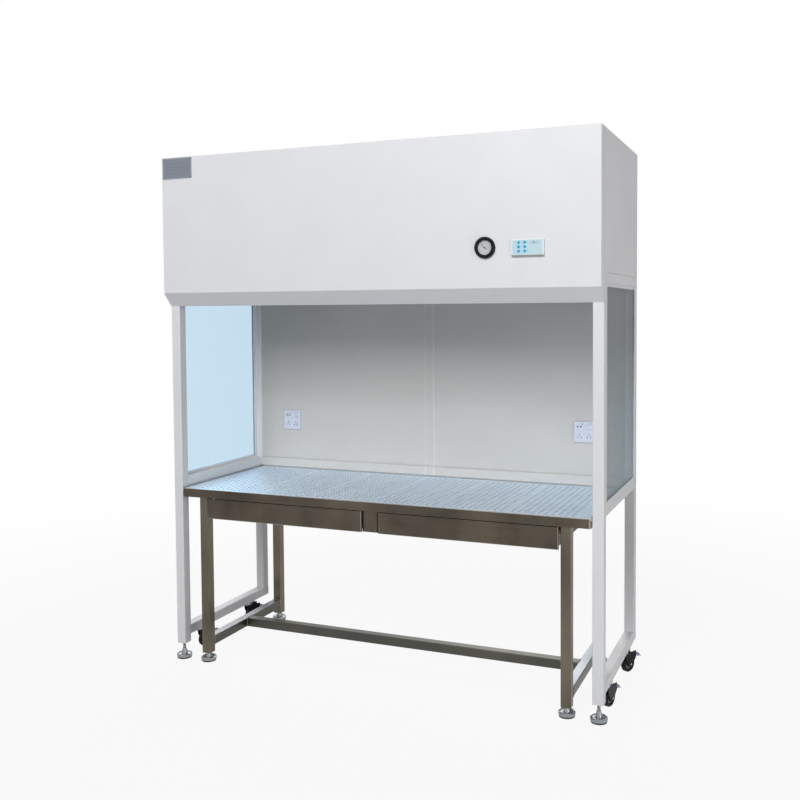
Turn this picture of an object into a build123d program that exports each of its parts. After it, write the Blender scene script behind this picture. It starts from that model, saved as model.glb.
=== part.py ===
"""Laminar flow hood: a fan and filter cabinet on a white tube frame, over a
stainless bench with a perforated top and two drawers.  Sizes in millimetres.

X runs to the right, Y to the back and Z up.  The origin is on the floor, under
the middle of the cabinet.
"""
import os
from math import atan2, degrees, hypot

from build123d import *

# Cabinet and cover
cabinet_width = 1800.0
cabinet_depth = 680.0          # cover face to the back of the rear posts
total_height = 2070.0
cabinet_height = 493.0         # above the frame
cover_stand = 45.0             # the cover stands this far in front of the posts
cover_fold_drop = 52.0         # the cover turns back this far below the cabinet
cover_lip_drop = 105.0         # lowest edge of the canted lip, below the cabinet
cover_flange = 15.0            # upturned edge behind the lip
cover_bend = 3.0
edge_chamfer = 1.5             # moulded front edges of the sockets and the panel
sheet = 1.5
cabinet_flange = 36.0

# White frame
post = 40.0
post_wall = 2.0
tube_corner = 3.0
post_bottom = 65.0
low_rail_bottom = 95.0
end_plate = 5.0

# Bench
bench_height = 720.0
bench_end_gap = 6.0            # between the bench top and a post
bench_lip = 35.0
bench_sheet = 2.0
bench_step = 2.0               # the top steps down to pass under the rear rail
bench_ledge = 28.0             # and reaches this far under it
rail_gap = 4.0                 # bench top to the rails above it
leg = 38.0
leg_wall = 1.5
leg_setback = 118.0            # cabinet side to the outer face of a bench leg
leg_front_gap = 8.0            # bench lip to the front face of a leg
leg_bottom = 35.0
stretcher_bottom = 62.0
top_rail = 30.0

# Perforated fields of the bench top
field_count = 6
field_gap = 37.5
field_margin = 67.25           # bench end to the first row
rows_in_field = 10
slot_width = 6.0
slots_in_row = 2
slot_bridge = 20.0
slot_margin_front = 24.0
slot_margin_rear = 36.0

# Drawers
drawer_front_height = 80.0
drawer_lip_gap = 3.0
drawer_gap = 6.0               # drawer front to leg
drawer_return = 10.0
drawer_sheet = 1.2
drawer_depth = 430.0
drawer_inset = 5.0             # box floor above the lower edge of the front
drawer_box_height = 68.0
divider_width = 72.0
divider_recess = 12.0
runner_width = 12.0
runner_sheet = 1.5
rim_height = 8.0
rim_drop = 12.0                # rim bar below the top edge of the drawer box
slide_gap = 0.3
finger_lip = 12.0

# Levelling feet
stem_radius = 6.0
fit = 0.05                     # radial running clearance of pins and stems
pad_radius = 31.0
pad_height = 5.0
disc_height = 14.0
boss_radius = 13.0
boss_height = 14.0
stem_hold = 45.0               # stem inside the leg above its end plate

# Casters
caster_front_gap = 92.0        # front post to the front swivel axis
caster_rear_gap = 149.0        # rear swivel axis to the back of the frame
caster_turn = {"front_left": 28.0, "front_right": 16.0, "rear_left": 26.0, "rear_right": 26.0}
plate_length = 72.0
plate_thickness = 3.0
kingpin_radius = 5.0
bearing_radius = 17.0
bearing_height = 8.0
fork_sheet = 2.5
fork_gap = 27.0                # between the fork's two cheeks
wheel_radius = 32.5
wheel_width = 22.0
wheel_lift = 3.0               # wheels hang clear of the floor on the feet
trail = 24.0
axle_radius = 4.0
brake_reach = 28.0             # brake pivot behind the axle
brake_rise = 30.5              # brake pivot above the axle
pivot_radius = 2.5
pedal_width = 26.0
pedal_length = 36.0
pedal_neck = 8.0
pedal_sheet = 4.0
pedal_slope = 27.0
pedal_travel = 14.0            # pressed down by this angle, the shoe meets the tyre
shoe_gap = 0.5
shoe_width = 3.0
kingpin_head = 8.0

# Windows
glass = 5.0
glass_set_in = 3.0             # outer face of the frame to the glass
bead = 10.0
bead_depth = 15.0
bead_groove = 5.0

# Rear wall
rear_set_back = 8.0            # rear posts and rails stand proud of the panels
rear_panel_depth = 20.0
rear_panel_sheet = 1.2
rear_seam = 2.0
seam_strip = 40.0              # cover strip over the seam, down the middle
seam_strip_depth = 1.5
seal_width = 20.0              # rubber seal between the bench and the rear rail

# Sockets on the rear wall
socket_size = 86.0
socket_depth = 9.0
socket_from_side = 207.5       # cabinet side to the socket's middle
socket_rise = 225.0            # above the bench
socket_corner = 5.0
round_pins = (-27.0, -14.0)    # round pin holes, from the plate's middle
round_pin_rise = 22.0
round_pin_radius = 2.6
outlet_offset = 20.0           # each flat-pin outlet from the plate's middle
flat_pins = ((0.0, -11.0, 0.0), (-7.0, -22.0, 28.0), (7.0, -22.0, -28.0))
flat_pin_size = (2.4, 7.5)
pin_depth = 6.0
rocker_width = 14.0
rocker_height = 22.0
rocker_barrel = 4.0
rocker_dish = 1.8              # the paddles' tips stand this far in front of the middle
rocker_gap = 0.4
rocker_tilt = 7.0              # at rest the rocker is down at one end
rocker_offset = (24.0, 24.0)   # right of and above the plate's middle

# Control panel and keys
panel_width = 118.0
panel_height = 62.0
panel_stand = 8.0
panel_skin = 2.0
panel_corner = 4.0
panel_from_side = 257.0        # cabinet side to the panel's middle
panel_rise = 86.0              # above the underside of the cabinet
display_x = (7.0, 43.0)        # sunk display, from the panel's middle
display_z = (12.0, 22.0)
display_recess = 0.8
key_radius = 4.5
key_flange = 1.2
key_columns = (-32.0, -10.0)   # from the panel's middle
key_rows = (18.5, 3.5, -11.5)
key_stand = 1.2
key_gap = 0.3

# Pressure gauge
gauge_from_side = 414.5
gauge_rise = 90.5
gauge_radius = 38.0
gauge_chamfer = 4.0
gauge_face_radius = 26.0
gauge_stand = 12.0
gauge_body_radius = 30.0
gauge_body_depth = 34.0
dial_recess = 8.0
lens_thickness = 2.0
lens_seat = 1.5
needle_length = 19.0
needle_tail = 6.0
needle_tip = 0.3               # half width at the tip
needle_root = 1.4              # half width at the tail
needle_thickness = 1.0
needle_stand = 3.0             # front of the pointer above the dial
needle_hub = 3.0
needle_pin = 1.5
needle_angle = 45.0            # at rest, anticlockwise from straight up

# Filters, plenum and blowers
filter_side = 20.0             # casing to the filters, at the sides
filter_end = 22.5              # and at the front and back
filter_height = 69.0
filter_gap = 20.0
filter_wall = 15.0
pleat_count = 16
pleat_sheet = 1.5
deck_edge = 25.0               # deck flange round each filter opening
plenum_height = 165.0          # underside of the cabinet to the blower deck
deck_skirt = 20.0
prefilter_width = 420.0
prefilter_depth = 320.0
prefilter_height = 20.0
prefilter_lap = 10.0
prefilter_wall = 14.0
prefilter_mat = 8.0
prefilter_bars = 4
prefilter_bar = 4.0
scroll_radius = 128.0
scroll_width = 170.0
scroll_rise = 150.0            # blower axis above its deck
scroll_sheet = 1.5
inlet_radius = 75.0
impeller_radius = 96.0
impeller_width = 120.0
impeller_hub = 20.0
impeller_hub_length = 30.0
blade_count = 24
blade_sheet = 2.0
blade_depth = 16.0
blade_lean = 28.0
motor_radius = 52.0
motor_length = 88.0
motor_bracket = 8.0
motor_foot_radius = 36.0
shaft_radius = 7.0

# Lamps
lamp_end = 310.0               # cabinet side to the end of the lamp
lamp_radius = 13.0
batten_height = 24.0
batten_width = 36.0
holder_length = 14.0
lamp_drop = 14.0               # batten face to the lamp's axis
uv_end = 470.0
uv_radius = 8.0
uv_drop = 40.0                 # lamp axis below the diffuser

# Diffuser and power inlet
diffuser_drop = 3.0            # diffuser face above the underside of the rails
diffuser_fields = 4
diffuser_rows = 16
diffuser_slot = 12.0
diffuser_margin = 25.0
inlet_from_side = 200.0
inlet_rise = 113.0
inlet_width = 48.0
inlet_height = 28.0
inlet_flange = 2.0
inlet_body = 24.0

# Worked out from the sizes above
half_width = cabinet_width / 2
front_y = -cabinet_depth / 2
rear_y = cabinet_depth / 2
frame_front_y = front_y + cover_stand
casing_y = (frame_front_y + rear_y) / 2
cabinet_floor = total_height - cabinet_height
cover_fold_height = cabinet_floor - cover_fold_drop
cover_lip_height = cabinet_floor - cover_lip_drop
post_x = half_width - post / 2
front_post_y = frame_front_y + post / 2
rear_post_y = rear_y - post / 2
inner_x = half_width - post
inner_front_y = frame_front_y + post
inner_rear_y = rear_y - post
low_rail_z = low_rail_bottom + post / 2
mid_rail_z = bench_height + rail_gap + post / 2
top_rail_z = cabinet_floor - post / 2
mid_rail_top = mid_rail_z + post / 2
wall_y = inner_rear_y + rear_set_back

bench_x = inner_x - bench_end_gap
bench_under = bench_height - bench_sheet
field_room = 2 * (bench_x - field_margin) - (field_count - 1) * field_gap
field_width = field_room / field_count
field_pitch = field_width + field_gap
row_pitch = (field_width - slot_width) / (rows_in_field - 1)
leg_x = half_width - leg_setback - leg / 2
leg_front_y = frame_front_y + leg_front_gap
leg_rear_y = inner_rear_y - bench_sheet
leg_inner_x = leg_x - leg / 2
drawer_top = bench_height - bench_lip - drawer_lip_gap
drawer_bottom = drawer_top - drawer_front_height
rail_under = bench_under - top_rail
divider_x = divider_width / 2
divider_front_y = frame_front_y + divider_recess
drawer_floor = drawer_bottom + drawer_inset
rim_z = drawer_floor + drawer_box_height - rim_drop
drawer_side_gap = runner_width + 1.0

foot_boss_top = pad_height + disc_height + boss_height
caster_plate_z = low_rail_bottom - plate_thickness
fork_top = caster_plate_z - bearing_height
wheel_z = wheel_lift + wheel_radius
pivot_z = wheel_z + brake_rise
pivot_y = trail + brake_reach
caster_y = (inner_front_y + caster_front_gap, rear_y - caster_rear_gap)

filter_width = half_width - filter_side - filter_gap / 2
blower_x = (filter_width + filter_gap) / 2
blower_y = casing_y
blower_deck_height = cabinet_floor + plenum_height
lamp_length = cabinet_width - 2 * lamp_end
uv_length = cabinet_width - 2 * uv_end

socket_x = half_width - socket_from_side
socket_z = bench_height + socket_rise
gauge_x = half_width - gauge_from_side
gauge_z = cabinet_floor + gauge_rise
panel_x = half_width - panel_from_side
panel_z = cabinet_floor + panel_rise
inlet_x = half_width - inlet_from_side
inlet_z = cabinet_floor + inlet_rise

pieces = {}


def square_tube(axis, start, end, u, v, side, wall):
    """A hollow square tube along an axis, centred on the other two coordinates."""
    bore = side - 2 * wall
    profile = RectangleRounded(side, side, tube_corner) - RectangleRounded(bore, bore, tube_corner - wall)
    solid = extrude(profile, end - start)
    if axis == "X":
        return Pos(start, u, v) * Rot(0, 90, 0) * solid
    if axis == "Y":
        return Pos(u, start, v) * Rot(-90, 0, 0) * solid
    return Pos(u, v, start) * solid


def block(x, y, z):
    """A box between two corners, each given as a (low, high) pair."""
    middle = Pos((x[0] + x[1]) / 2, (y[0] + y[1]) / 2, (z[0] + z[1]) / 2)
    return middle * Box(x[1] - x[0], y[1] - y[0], z[1] - z[0])


def prism_x(points, start, end):
    """A (y, z) outline carried along X."""
    face = make_face(Polyline(*[(0, y, z) for y, z in points], close=True))
    return Pos(start, 0, 0) * extrude(face, end - start, dir=(1, 0, 0))


def rod(axis, start, end, u, v, radius):
    """A round bar along an axis."""
    bar = Cylinder(radius, end - start, align=(Align.CENTER, Align.CENTER, Align.MIN))
    if axis == "X":
        return Pos(start, u, v) * Rot(0, 90, 0) * bar
    if axis == "Y":
        return Pos(u, start, v) * Rot(-90, 0, 0) * bar
    return Pos(u, v, start) * bar


def turned(points):
    """A round piece about Z from a half outline of (radius, height) points."""
    face = make_face(Polyline(*[(r, 0, z) for r, z in points], close=True))
    return revolve(face, Axis.Z)


def open_box(x, y, z, wall, open_top=True):
    """A folded tray: five walls, open at the top or at the bottom."""
    inside_z = (z[0] + wall, z[1] + wall) if open_top else (z[0] - wall, z[1] - wall)
    inside = block((x[0] + wall, x[1] - wall), (y[0] + wall, y[1] - wall), inside_z)
    return block(x, y, z) - inside


# White frame ------------------------------------------------------------------
def side_frame():
    """Right side of the frame: two posts and three rails, welded."""
    low_rail_top = low_rail_bottom + post
    frame = square_tube("Z", post_bottom, cabinet_floor, post_x, front_post_y, post, post_wall)
    frame += square_tube("Z", low_rail_top, cabinet_floor, post_x, rear_post_y, post, post_wall)
    frame += square_tube("Y", inner_front_y, rear_y, post_x, low_rail_z, post, post_wall)
    for rail_z in (mid_rail_z, top_rail_z):
        frame += square_tube("Y", inner_front_y, inner_rear_y, post_x, rail_z, post, post_wall)
    inside = post / 2 - post_wall
    frame += block(
        (post_x - inside, post_x + inside),
        (front_post_y - inside, front_post_y + inside),
        (post_bottom, post_bottom + end_plate),
    )
    frame += block(
        (post_x - inside, post_x + inside),
        (rear_y - end_plate, rear_y),
        (low_rail_z - inside, low_rail_z + inside),
    )
    stem_hole = (post_bottom - 1, post_bottom + end_plate + 1)
    return frame - rod("Z", *stem_hole, post_x, front_post_y, stem_radius + fit)


pieces["side_frame_right"] = side_frame()
pieces["side_frame_left"] = mirror(pieces["side_frame_right"], about=Plane.YZ)

pieces["cross_rails"] = Compound(
    children=[
        square_tube("X", -inner_x, inner_x, y, z, post, post_wall)
        for y, z in ((front_post_y, top_rail_z), (rear_post_y, top_rail_z), (rear_post_y, mid_rail_z))
    ]
)

# Cabinet ----------------------------------------------------------------------
cabinet_x = (-half_width, half_width)
cabinet_y = (frame_front_y, rear_y)
inside_x = half_width - sheet
inside_y = (frame_front_y + sheet, rear_y - sheet)
cabinet_ceiling = total_height - sheet
deck_z = cabinet_floor + sheet


def prefilter_openings(width, depth, low, high):
    """Two boxes on the cabinet's top, one over each blower."""
    return [
        block((x - width / 2, x + width / 2), (blower_y - depth / 2, blower_y + depth / 2), (low, high))
        for x in (-blower_x, blower_x)
    ]


def cabinet_shell():
    """Folded casing, open at the front and below, with flanges round both openings."""
    shell = block(cabinet_x, cabinet_y, (cabinet_floor, total_height))
    shell -= block((-inside_x, inside_x), inside_y, (deck_z, cabinet_ceiling))
    shell -= block(
        (-half_width + cabinet_flange, half_width - cabinet_flange),
        (frame_front_y + cabinet_flange, rear_y - cabinet_flange),
        (cabinet_floor - 1, deck_z + 1),
    )
    shell -= block(
        (-half_width + cabinet_flange, half_width - cabinet_flange),
        (frame_front_y - 1, frame_front_y + sheet + 1),
        (deck_z + cabinet_flange, total_height - cabinet_flange),
    )
    top = (cabinet_ceiling - 1, total_height + 1)
    for opening in prefilter_openings(prefilter_width, prefilter_depth, *top):
        shell -= opening
    return shell - block(
        (inlet_x - inlet_width / 2 + inlet_flange * 2, inlet_x + inlet_width / 2 - inlet_flange * 2),
        (rear_y - sheet - 1, rear_y + 1),
        (inlet_z - inlet_height / 2 + inlet_flange, inlet_z + inlet_height / 2 - inlet_flange),
    )


def front_cover():
    """Folded cover: face, top and side returns, and the canted lip below."""
    outline = [
        (front_y, cover_fold_height),
        (front_y, total_height),
        (frame_front_y, total_height),
        (frame_front_y, cover_lip_height),
    ]
    body = prism_x(outline, -half_width, half_width)
    face_edges = body.edges().filter_by(lambda edge: edge.center().Y < front_y + 1)
    body = fillet(face_edges, cover_bend)
    lean = (cover_fold_height - cover_lip_height) / cover_stand
    lip_wall = sheet * (1 + lean**2) ** 0.5
    flange_y = frame_front_y - sheet
    back = frame_front_y + 1
    hollow = [
        (front_y + sheet, cover_fold_height + lip_wall - lean * sheet),
        (front_y + sheet, total_height - sheet),
        (back, total_height - sheet),
        (back, cover_lip_height + cover_flange),
        (flange_y, cover_lip_height + cover_flange),
        (flange_y, cover_lip_height + lip_wall + lean * sheet),
    ]
    body -= prism_x(hollow, -half_width + sheet, half_width - sheet)
    through = (front_y - 1, front_y + sheet + 1)
    body -= rod("Y", *through, gauge_x, gauge_z, gauge_body_radius + key_gap)
    high = panel_height / 2 - panel_skin * 2
    side = panel_width / 2 - panel_skin * 2
    return body - block((panel_x - side, panel_x + side), through, (panel_z - high, panel_z + high))


pieces["cabinet_shell"] = cabinet_shell()
pieces["front_cover"] = front_cover()

# Filters and decks ------------------------------------------------------------
filter_x = blower_x
filter_y = (frame_front_y + filter_end, rear_y - filter_end)
filter_z = deck_z + bench_sheet
filter_top = filter_z + filter_height


def filter_deck():
    """Plate on the cabinet's bottom flanges that carries the two filters."""
    deck = block((-inside_x, inside_x), inside_y, (deck_z, filter_z))
    for x in (-filter_x, filter_x):
        deck -= block(
            (x - filter_width / 2 + deck_edge, x + filter_width / 2 - deck_edge),
            (filter_y[0] + deck_edge, filter_y[1] - deck_edge),
            (deck_z - 1, filter_z + 1),
        )
    return deck


def pleated_filter(x):
    """A frame round a sheet of medium folded to and fro."""
    across = (x - filter_width / 2, x + filter_width / 2)
    case = block(across, filter_y, (filter_z, filter_top))
    inner = (across[0] + filter_wall, across[1] - filter_wall)
    depth = (filter_y[0] + filter_wall, filter_y[1] - filter_wall)
    case -= block(inner, depth, (filter_z - 1, filter_top + 1))
    step = (depth[1] - depth[0]) / (2 * pleat_count)
    rise = pleat_sheet * (1 + (filter_height / step) ** 2) ** 0.5
    low = filter_z + pleat_sheet
    high = filter_top - pleat_sheet - rise
    fold = [(depth[0] + step * k, high if k % 2 else low) for k in range(2 * pleat_count + 1)]
    upper = [(y, z + rise) for y, z in reversed(fold)]
    return [case, prism_x(fold + upper, inner[0], inner[1])]


def blower_deck():
    """Plate with turned-down edges between the blowers and the filters' plenum."""
    top = blower_deck_height
    deck_range = (top - deck_skirt, top)
    deck = open_box((-inside_x, inside_x), inside_y, deck_range, bench_sheet, open_top=False)
    for x in (-blower_x, blower_x):
        deck -= block(
            (x - scroll_width / 2 + scroll_sheet, x + scroll_width / 2 - scroll_sheet),
            (blower_y, blower_y + scroll_radius - scroll_sheet),
            (top - bench_sheet - 1, top + 1),
        )
    return deck


def prefilter(x):
    """A coarse mat in a frame with cross bars, held up under the cabinet's top."""
    wide = prefilter_width / 2 + prefilter_lap
    deep = prefilter_depth / 2 + prefilter_lap
    high = cabinet_ceiling
    low = high - prefilter_height
    frame = block((x - wide, x + wide), (blower_y - deep, blower_y + deep), (low, high))
    inner_wide = wide - prefilter_wall
    inner_deep = deep - prefilter_wall
    inner_x_range = (x - inner_wide, x + inner_wide)
    inner_y_range = (blower_y - inner_deep, blower_y + inner_deep)
    frame -= block(inner_x_range, inner_y_range, (low + prefilter_mat, high + 1))
    for k in range(prefilter_bars):
        bar = x - inner_wide + (k + 1) * 2 * inner_wide / (prefilter_bars + 1)
        across = (bar - prefilter_bar / 2, bar + prefilter_bar / 2)
        frame += block(across, inner_y_range, (low + prefilter_mat, high))
    return frame


pieces["filter_deck"] = filter_deck()
pieces["hepa_filters"] = Compound(children=pleated_filter(-filter_x) + pleated_filter(filter_x))
pieces["blower_deck"] = blower_deck()
pieces["prefilters"] = Compound(children=[prefilter(-blower_x), prefilter(blower_x)])

# Blowers ----------------------------------------------------------------------
blower_z = blower_deck_height + scroll_rise
motor_face_x = scroll_width / 2


def scroll(x):
    """Scroll housing: round about the wheel, with an outlet straight down."""
    half = scroll_width / 2

    def body(radius, half_wide, low):
        shape = rod("X", -half_wide, half_wide, blower_y, blower_z, radius)
        edge = scroll_radius - radius
        return shape + block((-half_wide, half_wide), (blower_y + edge, blower_y + radius), (low, blower_z))

    inner = body(scroll_radius - scroll_sheet, half - scroll_sheet, blower_deck_height - 1)
    shell = body(scroll_radius, half, blower_deck_height) - inner
    shell -= rod("X", -half - 1, -half + scroll_sheet + 1, blower_y, blower_z, inlet_radius)
    shell -= rod("X", half - scroll_sheet - 1, half + 1, blower_y, blower_z, shaft_radius * 2)
    return Pos(x, 0, 0) * shell


def motor(x):
    """Motor on the closed side of the scroll, bored for its shaft."""
    start = motor_face_x
    back = start + motor_bracket
    body = rod("X", back, back + motor_length, blower_y, blower_z, motor_radius)
    body += rod("X", start, back, blower_y, blower_z, motor_foot_radius)
    body -= rod("X", start - 1, start + motor_length / 2, blower_y, blower_z, shaft_radius + fit)
    return Pos(x, 0, 0) * body


def impeller(x):
    """Forward-curved wheel: hub plate, blades, shroud ring and shaft."""
    half = impeller_width / 2
    inner = impeller_radius - blade_depth
    wheel = rod("X", half - blade_sheet, half, 0, 0, impeller_radius)
    wheel += rod("X", half - impeller_hub_length, half, 0, 0, impeller_hub)
    wheel += rod("X", half, motor_face_x + motor_length / 2 - 1, 0, 0, shaft_radius)
    shroud = rod("X", -half, -half + blade_sheet * 2, 0, 0, impeller_radius)
    shroud -= rod("X", -half - 1, -half + blade_sheet * 2 + 1, 0, 0, inner)
    wheel += shroud
    for k in range(blade_count):
        blade = Box(impeller_width - blade_sheet, blade_sheet, blade_depth + 2)
        leaned = Pos(0, 0, inner + blade_depth / 2 - 1) * Rot(blade_lean, 0, 0) * blade
        wheel += Rot(k * 360 / blade_count, 0, 0) * leaned
    wheel &= rod("X", -half, motor_face_x + motor_length, 0, 0, impeller_radius)
    return Pos(x, blower_y, blower_z) * wheel


for side, x in (("left", -blower_x), ("right", blower_x)):
    pieces["blower_scroll_" + side] = scroll(x)
    pieces["impeller_" + side] = impeller(x)
pieces["blower_motors"] = Compound(children=[motor(-blower_x), motor(blower_x)])

# Diffuser ---------------------------------------------------------------------
diffuser_z = cabinet_floor - post + diffuser_drop


def diffuser():
    """Slotted tray below the filters, held inside the ring of top rails."""
    across = (-inner_x, inner_x)
    depth = (inner_front_y, inner_rear_y)
    tray = open_box(across, depth, (diffuser_z, cabinet_floor), sheet)
    field = (across[1] - across[0]) / diffuser_fields
    pitch = (depth[1] - depth[0] - 2 * diffuser_margin) / diffuser_rows
    for i in range(diffuser_fields):
        low_x = across[0] + i * field + diffuser_margin
        for k in range(diffuser_rows):
            y = depth[0] + diffuser_margin + (k + 0.5) * pitch
            tray -= block(
                (low_x, low_x + field - 2 * diffuser_margin),
                (y - diffuser_slot / 2, y + diffuser_slot / 2),
                (diffuser_z - 1, diffuser_z + sheet + 1),
            )
    return tray


pieces["diffuser_grille"] = diffuser()

# Lamps ------------------------------------------------------------------------
rail_underside = cabinet_floor - post
lamp_z = rail_underside - batten_height - lamp_drop
uv_y = wall_y - batten_height - lamp_drop
uv_z = rail_underside - uv_drop


def lamp(y, z, length, radius):
    """Glass tube with a metal cap at each end."""
    half = length / 2
    cap = holder_length * 1.5
    tube = rod("X", -half, half, y, z, radius - 0.5)
    for end in (-half, half - cap):
        tube += rod("X", end, end + cap, y, z, radius)
    return tube


def batten(length):
    """Lamp channel with a holder at each end, built facing down at the origin."""
    half = length / 2 + holder_length
    wide = batten_width / 2
    body = open_box((-half, half), (-wide, wide), (-batten_height, 0), sheet)
    for low in (-half, half - holder_length):
        body += block(
            (low, low + holder_length),
            (-batten_width / 3, batten_width / 3),
            (-batten_height - 2 * lamp_drop, -batten_height),
        )
    return body


pieces["lamp_battens"] = Compound(
    children=[
        Pos(0, front_post_y, rail_underside) * batten(lamp_length),
        Pos(0, wall_y, uv_z) * Rot(-90, 0, 0) * batten(uv_length),
    ]
)
pieces["lamps"] = Compound(
    children=[
        lamp(front_post_y, lamp_z, lamp_length, lamp_radius),
        lamp(uv_y, uv_z, uv_length, uv_radius),
    ]
)

# Windows ----------------------------------------------------------------------
window_y = (inner_front_y, inner_rear_y)
window_z = (mid_rail_top, cabinet_floor - post)
glass_x = (half_width - glass_set_in - glass, half_width - glass_set_in)


def window_glass():
    """Right pane, its edges in the bead's groove."""
    edge = bead - bead_groove
    span = (window_y[0] + edge, window_y[1] - edge)
    return block(glass_x, span, (window_z[0] + edge, window_z[1] - edge))


def window_bead():
    """Right glazing bead: a ring round the opening, grooved for the glass."""
    ring = block((half_width - bead_depth, half_width), window_y, window_z)
    ring -= block(
        (half_width - bead_depth - 1, half_width + 1),
        (window_y[0] + bead, window_y[1] - bead),
        (window_z[0] + bead, window_z[1] - bead),
    )
    return ring - window_glass()


pieces["window_right"] = window_glass()
pieces["window_left"] = mirror(window_glass(), about=Plane.YZ)
pieces["window_beads"] = Compound(children=[mirror(window_bead(), about=Plane.YZ), window_bead()])

# Rear wall --------------------------------------------------------------------
def rear_panel():
    """Right rear panel: a folded tray between the posts and the rails, open behind."""
    wall = rear_panel_sheet
    across = (rear_seam / 2, inner_x)
    depth = (wall_y, wall_y + rear_panel_depth)
    inside = (across[0] + wall, across[1] - wall)
    panel = block(across, depth, window_z)
    return panel - block(inside, (wall_y + wall, depth[1] + 1), (window_z[0] + wall, window_z[1] - wall))


def rear_strip():
    """Cover strip over the seam, from the rail up to the lamp on the wall."""
    half = seam_strip / 2
    strip = block((-half, half), (wall_y - seam_strip_depth, wall_y), (mid_rail_top, strip_top))
    front_edges = strip.faces().sort_by(Axis.Y)[0].edges().filter_by(Axis.Z)
    return fillet(front_edges, seam_strip_depth * 0.6)


def rear_seal():
    """Rubber strip that closes the gap between the bench's ledge and the rail."""
    middle_y = inner_rear_y + bench_ledge / 2
    depth = (middle_y - seal_width / 2, middle_y + seal_width / 2)
    return block((-bench_x, bench_x), depth, (bench_height - bench_step, bench_height + rail_gap))


strip_top = uv_z - batten_width / 2
panels = [mirror(rear_panel(), about=Plane.YZ), rear_panel()]
pieces["rear_panels"] = Compound(children=panels + [rear_strip(), rear_seal()])

# Sockets ----------------------------------------------------------------------
socket_front = wall_y - socket_depth
rocker_y = socket_front + rocker_barrel


def socket_plate(x):
    """Wall socket: round and flat pin holes and a recess for its rocker."""
    plate = Box(socket_size, socket_depth, socket_size)
    plate = fillet(plate.edges().filter_by(Axis.Y), socket_corner)
    plate = chamfer(plate.faces().sort_by(Axis.Y)[0].edges(), edge_chamfer)
    plate = Pos(x, wall_y - socket_depth / 2, socket_z) * plate
    hole_y = (socket_front - 1, socket_front + pin_depth)
    for pin_x in round_pins:
        plate -= rod("Y", *hole_y, x + pin_x, socket_z + round_pin_rise, round_pin_radius)
    pin = Box(flat_pin_size[0], 2 * pin_depth, flat_pin_size[1])
    for outlet_x in (x - outlet_offset, x + outlet_offset):
        for pin_x, pin_z, turn in flat_pins:
            plate -= Pos(outlet_x + pin_x, socket_front, socket_z + pin_z) * Rot(0, turn, 0) * pin
    wide = rocker_width / 2 + rocker_gap
    high = rocker_height / 2 + rocker_gap
    middle_x = x + rocker_offset[0]
    middle_z = socket_z + rocker_offset[1]
    pocket_y = (socket_front - 1, wall_y - rocker_gap)
    return plate - block((middle_x - wide, middle_x + wide), pocket_y, (middle_z - high, middle_z + high))


def rocker(x):
    """Switch rocker: a barrel and a shallow V of two paddles."""
    half = rocker_width / 2
    tip = rocker_height / 2 - 1
    barrel = rocker_barrel - rocker_dish / 3
    front = -barrel - rocker_dish
    back = -barrel + rocker_dish / 2
    outline = [(front, tip), (-barrel, 0), (front, -tip), (back, -tip)]
    outline += [(0, -barrel / 2), (0, barrel / 2), (back, tip)]
    body = prism_x(outline, -half, half) + rod("X", -half, half, 0, 0, barrel)
    place = Pos(x + rocker_offset[0], rocker_y, socket_z + rocker_offset[1])
    return place * Rot(-rocker_tilt, 0, 0) * body


pieces["sockets"] = Compound(children=[socket_plate(-socket_x), socket_plate(socket_x)])
pieces["socket_rocker_left"] = rocker(-socket_x)
pieces["socket_rocker_right"] = rocker(socket_x)

# Control panel ----------------------------------------------------------------


def control_panel():
    """Shallow case on the cover, bored for its keys, with a sunk display."""
    case = Box(panel_width, panel_stand, panel_height)
    case = fillet(case.edges().filter_by(Axis.Y), panel_corner)
    case = chamfer(case.faces().sort_by(Axis.Y)[0].edges(), edge_chamfer)
    side = panel_width / 2 - panel_skin
    high = panel_height / 2 - panel_skin
    face = -panel_stand / 2
    case -= block((-side, side), (face + panel_skin, panel_stand), (-high, high))
    case -= block(display_x, (face - 1, face + display_recess), display_z)
    for x in key_columns:
        for z in key_rows:
            case -= rod("Y", face - 1, face + panel_skin + 1, x, z, key_radius + key_gap)
    return Pos(panel_x, front_y - panel_stand / 2, panel_z) * case


def key(x, z):
    """Push key with a collar behind the panel's skin."""
    collar = panel_skin + key_gap
    body = rod("Y", -key_stand, collar + key_flange, x, z, key_radius)
    body += rod("Y", collar, collar + key_flange, x, z, key_radius + key_flange)
    return Pos(panel_x, front_y - panel_stand, panel_z) * body


pieces["control_panel"] = control_panel()
for column, x in enumerate(key_columns):
    for row, z in enumerate(key_rows):
        pieces[f"key_{column * len(key_rows) + row + 1}"] = key(x, z)

# Pressure gauge ---------------------------------------------------------------
gauge_front = front_y - gauge_stand
dial_y = gauge_front + dial_recess


def gauge_housing():
    """Round case: bezel in front of the cover and a body through it."""
    bore = gauge_face_radius + lens_seat
    front = gauge_body_depth + gauge_stand
    outline = [
        (0, 0),
        (gauge_body_radius, 0),
        (gauge_body_radius, gauge_body_depth),
        (gauge_radius, gauge_body_depth),
        (gauge_radius, front - gauge_chamfer),
        (gauge_radius - gauge_chamfer, front),
        (bore, front),
        (bore, front - lens_thickness),
        (gauge_face_radius, front - lens_thickness),
        (gauge_face_radius, front - dial_recess),
        (needle_pin + fit, front - dial_recess),
        (needle_pin + fit, gauge_body_depth),
        (0, gauge_body_depth),
    ]
    return Pos(gauge_x, front_y + gauge_body_depth, gauge_z) * Rot(90, 0, 0) * turned(outline)


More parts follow.
